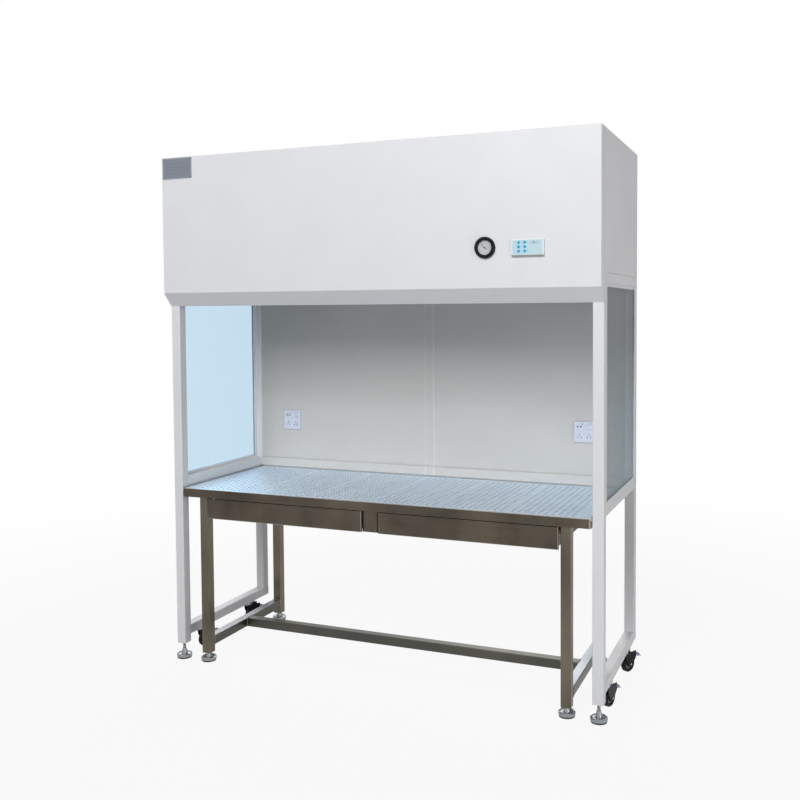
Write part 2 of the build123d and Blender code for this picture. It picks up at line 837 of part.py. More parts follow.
def gauge_needle():
    """Pointer on a hub, its pin in the dial."""
    front = dial_y - needle_stand
    hub = rod("Y", front, dial_y - key_gap, 0, 0, needle_hub)
    hub += rod("Y", dial_y - key_gap, dial_y + needle_stand, 0, 0, needle_pin)
    outline = [(needle_root, -needle_tail), (needle_tip, needle_length)]
    outline += [(-needle_tip, needle_length), (-needle_root, -needle_tail)]
    face = make_face(Polyline(*[(x, front, z) for x, z in outline], close=True))
    pointer = extrude(face, needle_thickness, dir=(0, 1, 0))
    return Pos(gauge_x, 0, gauge_z) * (hub + Rot(0, -needle_angle, 0) * pointer)


pieces["gauge_housing"] = gauge_housing()
pieces["gauge_lens"] = rod(
    "Y", gauge_front, gauge_front + lens_thickness, gauge_x, gauge_z, gauge_face_radius + lens_seat
)
pieces["gauge_needle"] = gauge_needle()

# Power inlet ------------------------------------------------------------------
inlet_half_x = inlet_width / 2
inlet_half_z = inlet_height / 2
inlet = block(
    (inlet_x - inlet_half_x, inlet_x + inlet_half_x),
    (rear_y, rear_y + inlet_flange),
    (inlet_z - inlet_half_z, inlet_z + inlet_half_z),
)
inlet += block(
    (inlet_x - inlet_half_x + inlet_flange * 2, inlet_x + inlet_half_x - inlet_flange * 2),
    (rear_y - inlet_body, rear_y),
    (inlet_z - inlet_half_z + inlet_flange, inlet_z + inlet_half_z - inlet_flange),
)
inlet -= block(
    (inlet_x - inlet_half_x / 2, inlet_x + inlet_half_x / 2),
    (rear_y - inlet_body + inlet_flange * 2, rear_y + inlet_flange + 1),
    (inlet_z - inlet_half_z / 2, inlet_z + inlet_half_z / 2),
)
pieces["power_inlet"] = inlet

# Bench ------------------------------------------------------------------------
bench_y = (frame_front_y, inner_rear_y)


def bench_top():
    """Folded stainless top, stepped down behind, with six perforated fields of long slots."""
    across = (-bench_x, bench_x)
    low = bench_height - bench_lip
    ledge = bench_height - bench_step
    top = open_box(across, bench_y, (low, bench_height), bench_sheet, open_top=False)
    top -= block(
        (-bench_x + bench_sheet, bench_x - bench_sheet),
        (bench_y[1] - bench_sheet - 1, bench_y[1] + 1),
        (low - 1, ledge - bench_sheet),
    )
    rear = (bench_y[1] - bench_sheet, bench_y[1] + bench_ledge)
    back = block(across, rear, (low, ledge))
    top += back - block(
        (-bench_x + bench_sheet, bench_x - bench_sheet),
        (rear[0] - 1, rear[1] - bench_sheet),
        (low - 1, ledge - bench_sheet),
    )
    top = fillet(top.edges().filter_by(Axis.X).group_by(Axis.Z)[-1].sort_by(Axis.Y)[:1], bench_sheet)
    row_y = (bench_y[0] + slot_margin_front, bench_y[1] - slot_margin_rear)
    slot_length = (row_y[1] - row_y[0] - (slots_in_row - 1) * slot_bridge) / slots_in_row
    cutters = []
    for field in range(field_count):
        field_x = (field - (field_count - 1) / 2) * field_pitch
        for row in range(rows_in_field):
            x = field_x + (row - (rows_in_field - 1) / 2) * row_pitch
            across = (x - slot_width / 2, x + slot_width / 2)
            for part in range(slots_in_row):
                low = row_y[0] + part * (slot_length + slot_bridge)
                cutters.append(block(across, (low, low + slot_length), (bench_under - 1, bench_height + 1)))
    return top - cutters


def bench_frame():
    """Stainless leg frame: four legs, a ring of top rails, side rails and a stretcher."""
    frame = None
    middle_y = (leg_front_y + leg_rear_y) / 2
    stretcher_z = stretcher_bottom + leg / 2
    top_rail_middle = bench_under - top_rail / 2
    leg_y = (leg_front_y + leg / 2, leg_rear_y - leg / 2)
    inside = leg / 2 - leg_wall
    for x in (-leg_x, leg_x):
        for y in leg_y:
            plate_top = leg_bottom + end_plate
            tube = square_tube("Z", leg_bottom, bench_under, x, y, leg, leg_wall)
            tube += block((x - inside, x + inside), (y - inside, y + inside), (leg_bottom, plate_top))
            tube -= rod("Z", leg_bottom - 1, plate_top + 1, x, y, stem_radius + fit)
            frame = tube if frame is None else frame + tube
        rail_y = (leg_front_y + leg, leg_rear_y - leg)
        frame += square_tube("Y", *rail_y, x, stretcher_z, leg, leg_wall)
        frame += square_tube("Y", *rail_y, x, top_rail_middle, top_rail, leg_wall)
    frame += square_tube("X", -leg_inner_x, leg_inner_x, middle_y, stretcher_z, leg, leg_wall)
    for y in (leg_front_y + top_rail / 2, leg_rear_y - top_rail / 2):
        frame += square_tube("X", -leg_inner_x, leg_inner_x, y, top_rail_middle, top_rail, leg_wall)
    return frame


def drawer_divider():
    """Folded box between the drawers, hung from the bench's top rails."""
    box = block((-divider_x, divider_x), (divider_front_y, leg_rear_y), (drawer_bottom, rail_under))
    inner = divider_x - runner_sheet
    inner_y = (divider_front_y + runner_sheet, leg_rear_y + 1)
    return box - block((-inner, inner), inner_y, (drawer_bottom - 1, rail_under - runner_sheet))


def runner(web_x, facing):
    """Channel that a drawer's rim bar slides in; facing is +1 or -1 along X."""
    half = rim_height / 2 + slide_gap
    outer = half + runner_sheet
    reach = sorted((web_x, web_x + facing * runner_width))
    inner = sorted((web_x + facing * runner_sheet, web_x + facing * (runner_width + 1)))
    span = (divider_front_y, leg_rear_y)
    body = block(reach, span, (rim_z - outer, rim_z + outer))
    return body - block(inner, (span[0] - 1, span[1] + 1), (rim_z - half, rim_z + half))


def drawer():
    """Right drawer: a folded tray behind a front with turned edges, and a rim bar each side."""
    side_x = (divider_x + drawer_side_gap, leg_inner_x - drawer_side_gap)
    front_back = frame_front_y + drawer_return
    back_y = frame_front_y + drawer_depth
    wall = drawer_sheet
    tray = open_box(side_x, (frame_front_y, back_y), (drawer_floor, drawer_floor + drawer_box_height), wall)
    front_x = (divider_x, leg_inner_x - drawer_gap)
    face = block(front_x, (frame_front_y, front_back), (drawer_bottom, drawer_top))
    face -= block(
        (front_x[0] + wall, front_x[1] - wall),
        (frame_front_y + wall, front_back + 1),
        (drawer_bottom + wall, drawer_top - wall),
    )
    finger = (front_back - wall, front_back)
    face += block(front_x, finger, (drawer_bottom, drawer_bottom + finger_lip))
    body = face + tray
    reach = runner_width - runner_sheet - slide_gap
    for bar in ((side_x[0] - 1 - reach, side_x[0]), (side_x[1], side_x[1] + 1 + reach)):
        body += block(bar, (front_back, back_y), (rim_z - rim_height / 2, rim_z + rim_height / 2))
    room = (frame_front_y + wall, back_y - wall)
    room_z = (drawer_floor + wall, drawer_top - wall)
    return body - block((side_x[0] + wall, side_x[1] - wall), room, room_z)


pieces["bench_top"] = bench_top()
pieces["bench_frame"] = bench_frame()
pieces["drawer_divider"] = drawer_divider()
runners = [runner(divider_x, 1), runner(leg_inner_x, -1)]
pieces["drawer_runners"] = Compound(children=runners + [mirror(item, about=Plane.YZ) for item in runners])
pieces["drawer_right"] = drawer()
pieces["drawer_left"] = mirror(drawer(), about=Plane.YZ)

# Levelling feet ---------------------------------------------------------------


def foot(x, y, boss_top, hold_z):
    """Rubber-soled disc, conical boss and screw stem, up into a leg's end plate."""
    sole = pad_height
    rim = pad_height + disc_height
    outline = [
        (0, 0),
        (pad_radius - 2, 0),
        (pad_radius - 1, sole),
        (pad_radius, sole + 2),
        (pad_radius, rim - 3),
        (pad_radius - 4, rim),
        (pad_radius - 8, rim - 3),
        (boss_radius, rim - 3),
        (stem_radius + 2, boss_top),
        (stem_radius, boss_top),
        (stem_radius, hold_z + end_plate + stem_hold),
        (0, hold_z + end_plate + stem_hold),
    ]
    return Pos(x, y, 0) * turned(outline)


leg_rows = {"front": leg_front_y + leg / 2, "rear": leg_rear_y - leg / 2}
post_boss_top = foot_boss_top + boss_height / 2
for side, sign in (("left", -1), ("right", 1)):
    pieces["post_foot_" + side] = foot(sign * post_x, front_post_y, post_boss_top, post_bottom)
    for row, y in leg_rows.items():
        pieces[f"bench_foot_{row}_{side}"] = foot(sign * leg_x, y, foot_boss_top, leg_bottom)

# Casters ----------------------------------------------------------------------


def caster_plate():
    """Top plate with its bearing cup and kingpin, about the swivel axis."""
    half = plate_length / 2
    plate = block((-post / 2, post / 2), (-half, half), (caster_plate_z, low_rail_bottom))
    plate += rod("Z", fork_top + slide_gap, caster_plate_z, 0, 0, bearing_radius)
    under = fork_top - fork_sheet - slide_gap
    plate += rod("Z", under - 2, under, 0, 0, kingpin_head)
    return plate + rod("Z", under - 2, caster_plate_z, 0, 0, kingpin_radius)


def caster_fork():
    """Pressed yoke: a bridge on the kingpin and two cheeks that hold the axle."""
    half = fork_gap / 2
    bridge_z = (fork_top - fork_sheet, fork_top)
    bridge = rod("Z", bridge_z[0], bridge_z[1], 0, 0, bearing_radius + 3)
    bridge += block((-half - fork_sheet, half + fork_sheet), (0, pivot_y + 6), bridge_z)
    bridge -= block((-half, half), (bearing_radius + 5, pivot_y + 7), (bridge_z[0] - 1, bridge_z[1] + 1))
    cheek = [
        (-bearing_radius * 0.5, bridge_z[1]),
        (pivot_y + 6, bridge_z[1]),
        (pivot_y + 8, pivot_z - 6),
        (trail + 9, wheel_z - 9),
        (trail - 9, wheel_z - 9),
        (-bearing_radius * 0.3, wheel_z + 20),
    ]
    for low in (-half - fork_sheet, half):
        bridge += prism_x(cheek, low, low + fork_sheet)
    bridge += rod("X", -half, half, trail, wheel_z, axle_radius)
    bridge += rod("X", -half, half, pivot_y, pivot_z, pivot_radius)
    return bridge - rod("Z", bridge_z[0] - 1, bridge_z[1] + 1, 0, 0, kingpin_radius + fit)


def caster_wheel():
    """Tyre and hub in one turned piece, about X on the axle."""
    half = wheel_width / 2
    hub = wheel_radius * 0.36
    web = half * 0.55
    outline = [
        (axle_radius + fit, -half),
        (hub, -half),
        (hub + 2, -web),
        (wheel_radius * 0.68, -web),
        (wheel_radius * 0.74, -half),
        (wheel_radius - 3, -half),
        (wheel_radius, -half + 4),
    ]
    outline += [(r, -x) for r, x in reversed(outline)]
    return Pos(0, trail, wheel_z) * Rot(0, 90, 0) * turned(outline)


def caster_brake():
    """Foot pedal on the pivot pin, with a shoe that comes round to the tyre."""
    half = fork_gap / 2 - slide_gap
    gap = hypot(brake_reach, brake_rise) - wheel_radius
    barrel = gap - 2 * shoe_gap
    pivot = Pos(0, pivot_y, pivot_z)
    lever = pivot * rod("X", -half, half, 0, 0, barrel)
    towards_axle = degrees(atan2(-brake_rise, -brake_reach))
    shoe_x = (-wheel_width / 2, wheel_width / 2)
    shoe = block(shoe_x, (0, gap - shoe_gap), (-shoe_width / 2, shoe_width / 2))
    lever += pivot * Rot(towards_axle + pedal_travel, 0, 0) * shoe
    root = pivot * Rot(-pedal_slope, 0, 0)
    wide = pedal_width / 2
    neck = barrel + pedal_neck
    lever += root * block((-half, half), (0, neck), (barrel - pedal_sheet - 1, barrel - 1))
    lever += root * block((-wide, wide), (neck, barrel + pedal_length), (barrel - pedal_sheet, barrel))
    return lever - pivot * rod("X", -half - 1, half + 1, 0, 0, pivot_radius + fit)


plates = []
for row, y in zip(("front", "rear"), caster_y):
    for side, x in (("left", -post_x), ("right", post_x)):
        name = f"{row}_{side}"
        place = Pos(x, y, 0) * Rot(0, 0, -caster_turn[name])
        plates.append(Pos(x, y, 0) * caster_plate())
        pieces["caster_fork_" + name] = place * caster_fork()
        pieces["caster_wheel_" + name] = place * caster_wheel()
        pieces["caster_brake_" + name] = place * caster_brake()
pieces["caster_plates"] = Compound(children=plates)

os.makedirs("parts", exist_ok=True)
for name, piece in pieces.items():
    export_step(piece, f"parts/{name}.step")
print(len(pieces), "nodes written")
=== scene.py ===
import bpy
import math
import numpy as np
from mathutils import Matrix, Vector


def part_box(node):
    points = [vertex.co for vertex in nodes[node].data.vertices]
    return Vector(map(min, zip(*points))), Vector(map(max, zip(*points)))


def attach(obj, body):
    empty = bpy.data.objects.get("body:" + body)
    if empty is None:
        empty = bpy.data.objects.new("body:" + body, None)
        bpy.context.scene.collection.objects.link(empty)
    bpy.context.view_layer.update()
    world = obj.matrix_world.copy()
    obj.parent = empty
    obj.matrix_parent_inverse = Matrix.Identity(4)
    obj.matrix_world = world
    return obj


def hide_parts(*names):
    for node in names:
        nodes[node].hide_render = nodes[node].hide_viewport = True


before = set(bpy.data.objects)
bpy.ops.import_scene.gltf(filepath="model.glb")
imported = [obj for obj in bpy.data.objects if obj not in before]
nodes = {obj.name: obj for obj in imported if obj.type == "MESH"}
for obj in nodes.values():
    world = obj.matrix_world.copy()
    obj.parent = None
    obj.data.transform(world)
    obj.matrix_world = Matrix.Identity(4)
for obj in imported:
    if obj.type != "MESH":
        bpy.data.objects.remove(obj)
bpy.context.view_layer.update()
print("frame loaded:", len(nodes), "nodes")

tau = 2 * math.pi


# small helpers
def faceRange(node):
    # lowest and highest corner of a CAD node, as two plain lists in metres
    low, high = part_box(node)
    return list(low), list(high)


def newPiece(name, points, faces, body, slot, finish, smooth=False):
    # a mesh from a point array (n, 3) and a list of face index arrays, already in place
    mesh = bpy.data.meshes.new(name)
    mesh.from_pydata(np.asarray(points, dtype=float).tolist(), [], [list(map(int, f)) for f in faces])
    mesh.update()
    piece = bpy.data.objects.new(name, mesh)
    bpy.context.collection.objects.link(piece)
    mesh.materials.append(finish)
    if smooth:
        mesh.polygons.foreach_set("use_smooth", np.ones(len(mesh.polygons), dtype=bool))
    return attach(piece, body)


def gridFaces(rows, columns, closeRows=False, closeColumns=False):
    # quads between neighbouring points of a rows x columns grid, as lists of four indices
    r = np.arange(rows if closeRows else rows - 1)
    c = np.arange(columns if closeColumns else columns - 1)
    a, b = np.meshgrid(r, c, indexing="ij")
    nextA, nextB = (a + 1) % rows, (b + 1) % columns
    quads = np.stack([a * columns + b, a * columns + nextB, nextA * columns + nextB, nextA * columns + b], -1)
    return quads.reshape(-1, 4).tolist()


def spun(section, steps):
    # section rows are (radius, height); each is carried round the Z axis: x = r cos t, y = r sin t
    r, z = np.hsplit(np.asarray(section, dtype=float), 2)
    t = np.arange(steps) * tau / steps
    return np.stack([r * np.cos(t), r * np.sin(t), z + 0 * t], -1).reshape(-1, 3)


def cappedFaces(rings, steps):
    # quads round a stack of rings, with one flat face over each end
    last = (rings - 1) * steps
    ends = [list(range(last, last + steps)), list(range(steps - 1, -1, -1))]
    return gridFaces(rings, steps, closeColumns=True) + ends


def turnedShape(profile, steps):
    # a solid turned from a profile whose two ends stay clear of the axis
    return spun(profile, steps), cappedFaces(len(profile), steps)


def turnedRing(section, steps):
    # a ring turned from a closed section that is clear of the axis
    return spun(section, steps), gridFaces(len(section), steps, closeRows=True, closeColumns=True)


def aimed(points, direction, place):
    # turns a shape built along +Z so that it points along direction, then moves it to place
    turn = Vector((0, 0, 1)).rotation_difference(Vector(direction)).to_matrix()
    return points @ np.array(turn).T + np.array(place)


def joined(shapes):
    # several (points, faces) shapes as one, with the face indices moved on
    allPoints, allFaces, count = [], [], 0
    for points, faces in shapes:
        allPoints.append(points)
        allFaces += [[i + count for i in f] for f in faces]
        count += len(points)
    return np.concatenate(allPoints), allFaces


def welded(points, faces):
    # points in the same micrometre become one point; index gives each old point its new number
    _, first, index = np.unique(np.round(points, 6), axis=0, return_index=True, return_inverse=True)
    index = index.ravel()
    return np.asarray(points)[first], [list(dict.fromkeys(index[list(f)].tolist())) for f in faces], index


def barShape(section, axis, low, high):
    # a closed section of (u, v) points carried along an axis; u and v are the other two axes in order
    section = np.asarray(section, dtype=float)
    count = len(section)
    others = [k for k in range(3) if k != axis]
    points = np.zeros((2, count, 3))
    points[:, :, others[0]] = section[:, 0]
    points[:, :, others[1]] = section[:, 1]
    points[0, :, axis], points[1, :, axis] = low, high
    faces = cappedFaces(2, count)
    area = np.sum(section[:, 0] * np.roll(section[:, 1], -1) - np.roll(section[:, 0], -1) * section[:, 1])
    turned = (area > 0) == (axis != 1)
    if not turned:
        faces = [f[::-1] for f in faces]
    return points.reshape(-1, 3), faces


# shader sockets as values
def mathsNode(operation, reflected=False):
    # a method that adds one Math node of self and other, the other way round when reflected
    def method(self, other=None):
        return self.maths(operation, other, self) if reflected else self.maths(operation, self, other)

    return method


class Signal:
    # wraps one output socket; + - * / ** and comparisons add Math nodes
    def __init__(self, finish, socket):
        self.finish = finish
        self.socket = socket

    def maths(self, operation, first, second=None):
        values = {0: first} if second is None else {0: first, 1: second}
        return self.finish.add("ShaderNodeMath", {"operation": operation}, values).out(0)

    __add__, __radd__ = mathsNode("ADD"), mathsNode("ADD", reflected=True)
    __sub__, __rsub__ = mathsNode("SUBTRACT"), mathsNode("SUBTRACT", reflected=True)
    __mul__, __rmul__ = mathsNode("MULTIPLY"), mathsNode("MULTIPLY", reflected=True)
    __truediv__, __pow__ = mathsNode("DIVIDE"), mathsNode("POWER")
    __gt__, __lt__ = mathsNode("GREATER_THAN"), mathsNode("LESS_THAN")
    __abs__, cosine, root = mathsNode("ABSOLUTE"), mathsNode("COSINE"), mathsNode("SQRT")

    def clipped(self):
        return self.finish.add("ShaderNodeClamp", {}, {"Value": self}).out(0)


class Node:
    def __init__(self, finish, node):
        self.finish = finish
        self.node = node

    def out(self, key=0):
        return Signal(self.finish, self.node.outputs[key])


class Finish:
    # one material, or the world: add() makes any node, and principled() a whole surface
    def __init__(self, name, owner=None):
        self.material = owner or bpy.data.materials.new(name)
        self.material.use_nodes = True
        self.tree = self.material.node_tree
        self.tree.nodes.clear()

    def add(self, kind, settings, values):
        # settings go first; a list of (position, colour) pairs under "stops" fills a ramp
        node = self.tree.nodes.new(kind)
        for key, value in settings.items():
            if key == "stops":
                ramp = node.color_ramp
                while len(ramp.elements) < len(value):
                    ramp.elements.new(0.5)
                for element, (position, colour) in zip(ramp.elements, value):
                    element.position = position
                    element.color = colour
            else:
                setattr(node, key, value)
        for key, value in values.items():
            if isinstance(value, Signal):
                self.tree.links.new(value.socket, node.inputs[key])
            else:
                node.inputs[key].default_value = value
        return Node(self, node)

    def place(self):
        return self.add("ShaderNodeTexCoord", {}, {}).out("Object")

    def axes(self):
        split = self.add("ShaderNodeSeparateXYZ", {}, {"Vector": self.place()})
        return split.out(0), split.out(1), split.out(2)

    def scaled(self, scale):
        # Object coordinates stretched by a scale per axis
        values = {"Vector": self.place(), "Scale": scale}
        return self.add("ShaderNodeMapping", {"vector_type": "POINT"}, values).out(0)

    def noise(self, scale, detail=3.0, rough=0.5, stretch=(1, 1, 1)):
        return self.add(
            "ShaderNodeTexNoise",
            {"noise_dimensions": "3D"},
            {"Vector": self.scaled(stretch), "Scale": scale, "Detail": detail, "Roughness": rough},
        ).out("Fac")

    def ramp(self, factor, stops):
        return self.add("ShaderNodeValToRGB", {"stops": stops}, {"Fac": factor}).out("Color")

    def blend(self, factor, first, second):
        return self.add(
            "ShaderNodeMix", {"data_type": "RGBA", "clamp_factor": True}, {0: factor, 6: first, 7: second}
        ).out(2)

    def bump(self, height, strength, distance, under=None):
        values = {"Height": height, "Strength": strength, "Distance": distance}
        if under is not None:
            values["Normal"] = under
        return self.add("ShaderNodeBump", {}, values).out("Normal")

    def principled(self, values):
        shader = self.add("ShaderNodeBsdfPrincipled", {}, values)
        self.surface(shader.out(0))
        return self.material

    def surface(self, shader):
        self.add("ShaderNodeOutputMaterial", {}, {"Surface": shader})
        return self.material


def tone(red, green, blue):
    # a 0-255 screen colour as a linear RGBA value
    c = np.array([red, green, blue]) / 255.0
    c = np.where(c <= 0.04045, c / 12.92, ((c + 0.055) / 1.055) ** 2.4)
    return (float(c[0]), float(c[1]), float(c[2]), 1.0)


# finishes
whitePaint = {
    "colour": tone(229, 230, 233),
    "worn": tone(221, 222, 225),
    "shaded": (tone(203, 201, 197), tone(197, 195, 192)),      # painted shade for the sheets and rails behind the bench
    "roughness": (0.34, 0.46),
    "peelScale": 700.0,            # orange peel, waves per metre
    "peelDepth": 0.00006,
    "sheetScale": 2.2,             # slow waviness of the folded sheet
    "seamHalf": 0.0009,            # the joint between cover and casing, seen on the cabinet's sides
    "seamFrom": 0.8985,
}


def makeWhitePaint(name, sheetDepth=0.0, seam=None):
    # satin powder coat: slow colour drift, fine orange peel, and soft sheet waviness
    f = Finish(name)
    drift = f.noise(6.0, 4.0, 0.6)
    peel = f.noise(whitePaint["peelScale"], 2.0, 0.5)
    colour = f.blend(drift, whitePaint["colour"], whitePaint["worn"])
    low, high = whitePaint["roughness"]
    rough = low + (high - low) * drift
    normal = f.bump(peel, 0.35, whitePaint["peelDepth"])
    if sheetDepth:
        wave = f.noise(whitePaint["sheetScale"], 1.0, 0.4, stretch=(1.6, 1.0, 0.35))
        normal = f.bump(wave, 0.5, sheetDepth, normal)
    if seam is not None:
        # a thin dark joint across Y, where the cover meets the casing
        x, y, z = f.axes()
        joint = abs(y - seam) < whitePaint["seamHalf"]
        side = abs(x) > whitePaint["seamFrom"]
        mask = (joint * side).clipped()
        colour = f.blend(mask * 0.75, colour, tone(70, 70, 72))
    return f.principled({"Base Color": colour, "Roughness": rough, "Normal": normal, "Specular IOR Level": 0.45})


stainless = {
    # painted light and shade on one steel: the bench top's pale blue is steel colour with a painted sky reflection;
    # lips, drawers, divider, frame and rail sides are darkened with painted shade, and rail tops get a painted
    # highlight
    "railSideShade": tone(70, 73, 72),
    "railTopHighlight": tone(146, 150, 156),
    "topLitTone": (tone(222, 236, 251), tone(238, 248, 255)),
    "lipShadeTone": (tone(56, 50, 44), tone(112, 104, 93)),
    "frameShadeTone": (tone(70, 66, 58), tone(132, 123, 108)),
    "roughness": (0.3, 0.46),
    "hairline": 900.0,             # brush lines per metre across the brushing
    "hairDepth": 0.00002,
    "drawn": 6.0,                  # the same along the brushing
}


def makeStainless(name, tones, along, rough=None, edges=(), dark=(), below=None):
    # hairline finish: noise drawn out along the brushing, in colour, gloss and height, under slow
    # cloudy streaks; both band lists hold (axis, place, half width): edges get a painted highlight, the other
    # painted shade
    f = Finish(name)
    low, high = rough or stainless["roughness"]
    x, y, z = f.axes()
    fine, drawn = stainless["hairline"], stainless["drawn"]
    if along == "frame":
        # legs are brushed upright, rails front to back, and the stretcher from side to side
        upright = f.noise(1.0, 3.0, 0.6, stretch=(fine, fine, drawn))
        deep = f.noise(1.0, 3.0, 0.6, stretch=(fine, drawn, fine))
        across = f.noise(1.0, 3.0, 0.6, stretch=(drawn, fine, fine))
        outer = abs(x) > frameMarks["legInner"]
        leg = ((y < frameMarks["legFrontBack"]) + (y > frameMarks["legRearFront"])).clipped()
        hair = across * (1 - outer) + upright * (outer * leg) + deep * (outer * (1 - leg))
    else:
        stretch = {"x": (drawn, fine, fine), "z": (fine, fine, drawn)}[along]
        hair = f.noise(1.0, 3.0, 0.6, stretch=stretch)
    cloud = f.noise(1.0, 4.0, 0.55, stretch=(4.0, 4.0, 2.5))
    streak = ((cloud - 0.3) * 2.2).clipped()
    colour = f.blend((hair * 0.45 + streak * 0.6 - 0.05).clipped(), tones[0], tones[1])
    roughness = low + (high - low) * (hair * 0.5 + cloud * 0.5)
    axes = (x, y, z)
    for bands, amount, shade in ((dark, 0.8, tone(22, 20, 18)), (edges, 0.62, tone(176, 170, 160))):
        for axis, spot, half in bands:
            colour = f.blend((abs(axes[axis] - spot) < half) * amount, colour, shade)
    if along == "frame":
        # painted shade makes the low rails darker than the legs, and their tops get a painted highlight
        rail = (1 - outer * leg) * (z < frameMarks["railTop"] + 0.0005)
        colour = f.blend(rail * 0.7, colour, stainless["railSideShade"])
        upper = rail * outer * (z > frameMarks["railTop"] - 0.0003)
        colour = f.blend(upper * (0.6 + 0.4 * streak), colour, stainless["railTopHighlight"])
    if below is not None:
        shadeTone = f.blend(hair, *stainless["lipShadeTone"])
        colour = f.blend(z < below, colour, shadeTone)
    normal = f.bump(hair, 0.5, stainless["hairDepth"])
    return f.principled({"Base Color": colour, "Metallic": 1.0, "Roughness": roughness, "Normal": normal})


def makeZinc(name, colour=(176, 180, 186), rough=(0.18, 0.36), spangle=140.0):
    # bright zinc plate: small spangles in colour and gloss
    f = Finish(name)
    cells = f.add("ShaderNodeTexVoronoi", {"feature": "F1"}, {"Vector": f.place(), "Scale": spangle}).out("Color")
    value = f.add("ShaderNodeSeparateColor", {}, {"Color": cells}).out(0)
    r, g, b = colour
    tint = f.blend(value, tone(r - 14, g - 14, b - 14), tone(min(r + 10, 255), min(g + 10, 255), min(b + 10, 255)))
    low, high = rough
    return f.principled({"Base Color": tint, "Metallic": 1.0, "Roughness": low + (high - low) * value})


def makePlastic(name, colour, rough=(0.28, 0.4), grain=900.0, depth=0.00003, drift=8, gloss=0.5):
    # moulded plastic: fine grain in height and gloss, slight drift in colour
    f = Finish(name)
    slow = f.noise(30.0, 3.0, 0.5)
    fine = f.noise(grain, 2.0, 0.5)
    r, g, b = colour
    tint = f.blend(slow, tone(max(r - drift, 0), max(g - drift, 0), max(b - drift, 0)), tone(r, g, b))
    low, high = rough
    normal = f.bump(fine, 0.3, depth)
    rough = low + (high - low) * fine
    return f.principled({"Base Color": tint, "Roughness": rough, "Normal": normal, "Specular IOR Level": gloss})


def makeRubber(name):
    # black tyre rubber with a dusty bloom
    f = Finish(name)
    dust = f.noise(60.0, 5.0, 0.7)
    tint = f.ramp(dust, [(0.35, tone(22, 22, 23)), (0.75, tone(52, 52, 52))])
    rough, normal = 0.62 + 0.2 * dust, f.bump(dust, 0.4, 0.0001)
    return f.principled({"Base Color": tint, "Roughness": rough, "Normal": normal, "Specular IOR Level": 0.2})


windowGlass = {
    "tint": tone(231, 245, 254), "clear": tone(251, 252, 252), "gloss": 0.03, "shine": (0.27, 0.25, 0.22, 1.0),
}


def makeWindowGlass(name, tint):
    # thin pane: light goes straight through, and it shines by 0.02 + 0.02 * dust + 0.97 * facing^4
    f = Finish(name)
    dust = f.noise(9.0, 4.0, 0.6)
    clear = f.add("ShaderNodeBsdfTransparent", {}, {"Color": tint}).out(0)
    shine = f.add(
        "ShaderNodeBsdfGlossy", {}, {"Color": windowGlass["shine"], "Roughness": windowGlass["gloss"]}
    ).out(0)
    facing = f.add("ShaderNodeLayerWeight", {}, {"Blend": 0.5}).out("Facing")
    seen = f.add(
        "ShaderNodeMixShader", {}, {0: (0.02 + 0.02 * dust + 0.97 * facing ** 4).clipped(), 1: clear, 2: shine}
    ).out(0)
    bare = f.add("ShaderNodeBsdfTransparent", {}, {"Color": (1.0, 1.0, 1.0, 1.0)}).out(0)
    shade = f.add("ShaderNodeLightPath", {}, {}).out("Is Shadow Ray")
    return f.surface(f.add("ShaderNodeMixShader", {}, {0: shade, 1: seen, 2: bare}).out(0))


def makeLampGlass(name):
    # white tube with a slightly uneven powder coat
    f = Finish(name)
    powder = f.noise(400.0, 3.0, 0.5)
    tint = f.blend(powder, tone(240, 242, 244), tone(228, 231, 234))
    return f.principled({"Base Color": tint, "Roughness": 0.12 + 0.1 * powder})


controlPanel = {
    "centre": (0.643, 1.663),
    "edge": (0.0045, 0.0045),      # pale frame round the membrane, across and up
    "foot": 0.0054,                # grey strip along the bottom
    "display": (0.025, 0.017, 0.019, 0.0062),   # middle and half size, from the panel's centre
    "columns": (-0.032, -0.010),
    "rows": (0.0185, 0.0035, -0.0115),
    "key": 0.0055,                 # radius of a key, and of the halo round it
    "halo": 0.0095,
    "lampDot": 0.0014,
    "lampSide": 0.0105,            # from a key's middle to its lamp dot
    "half": (0.059, 0.031),
    "face": -0.3465,               # everything in front of this is printed
}


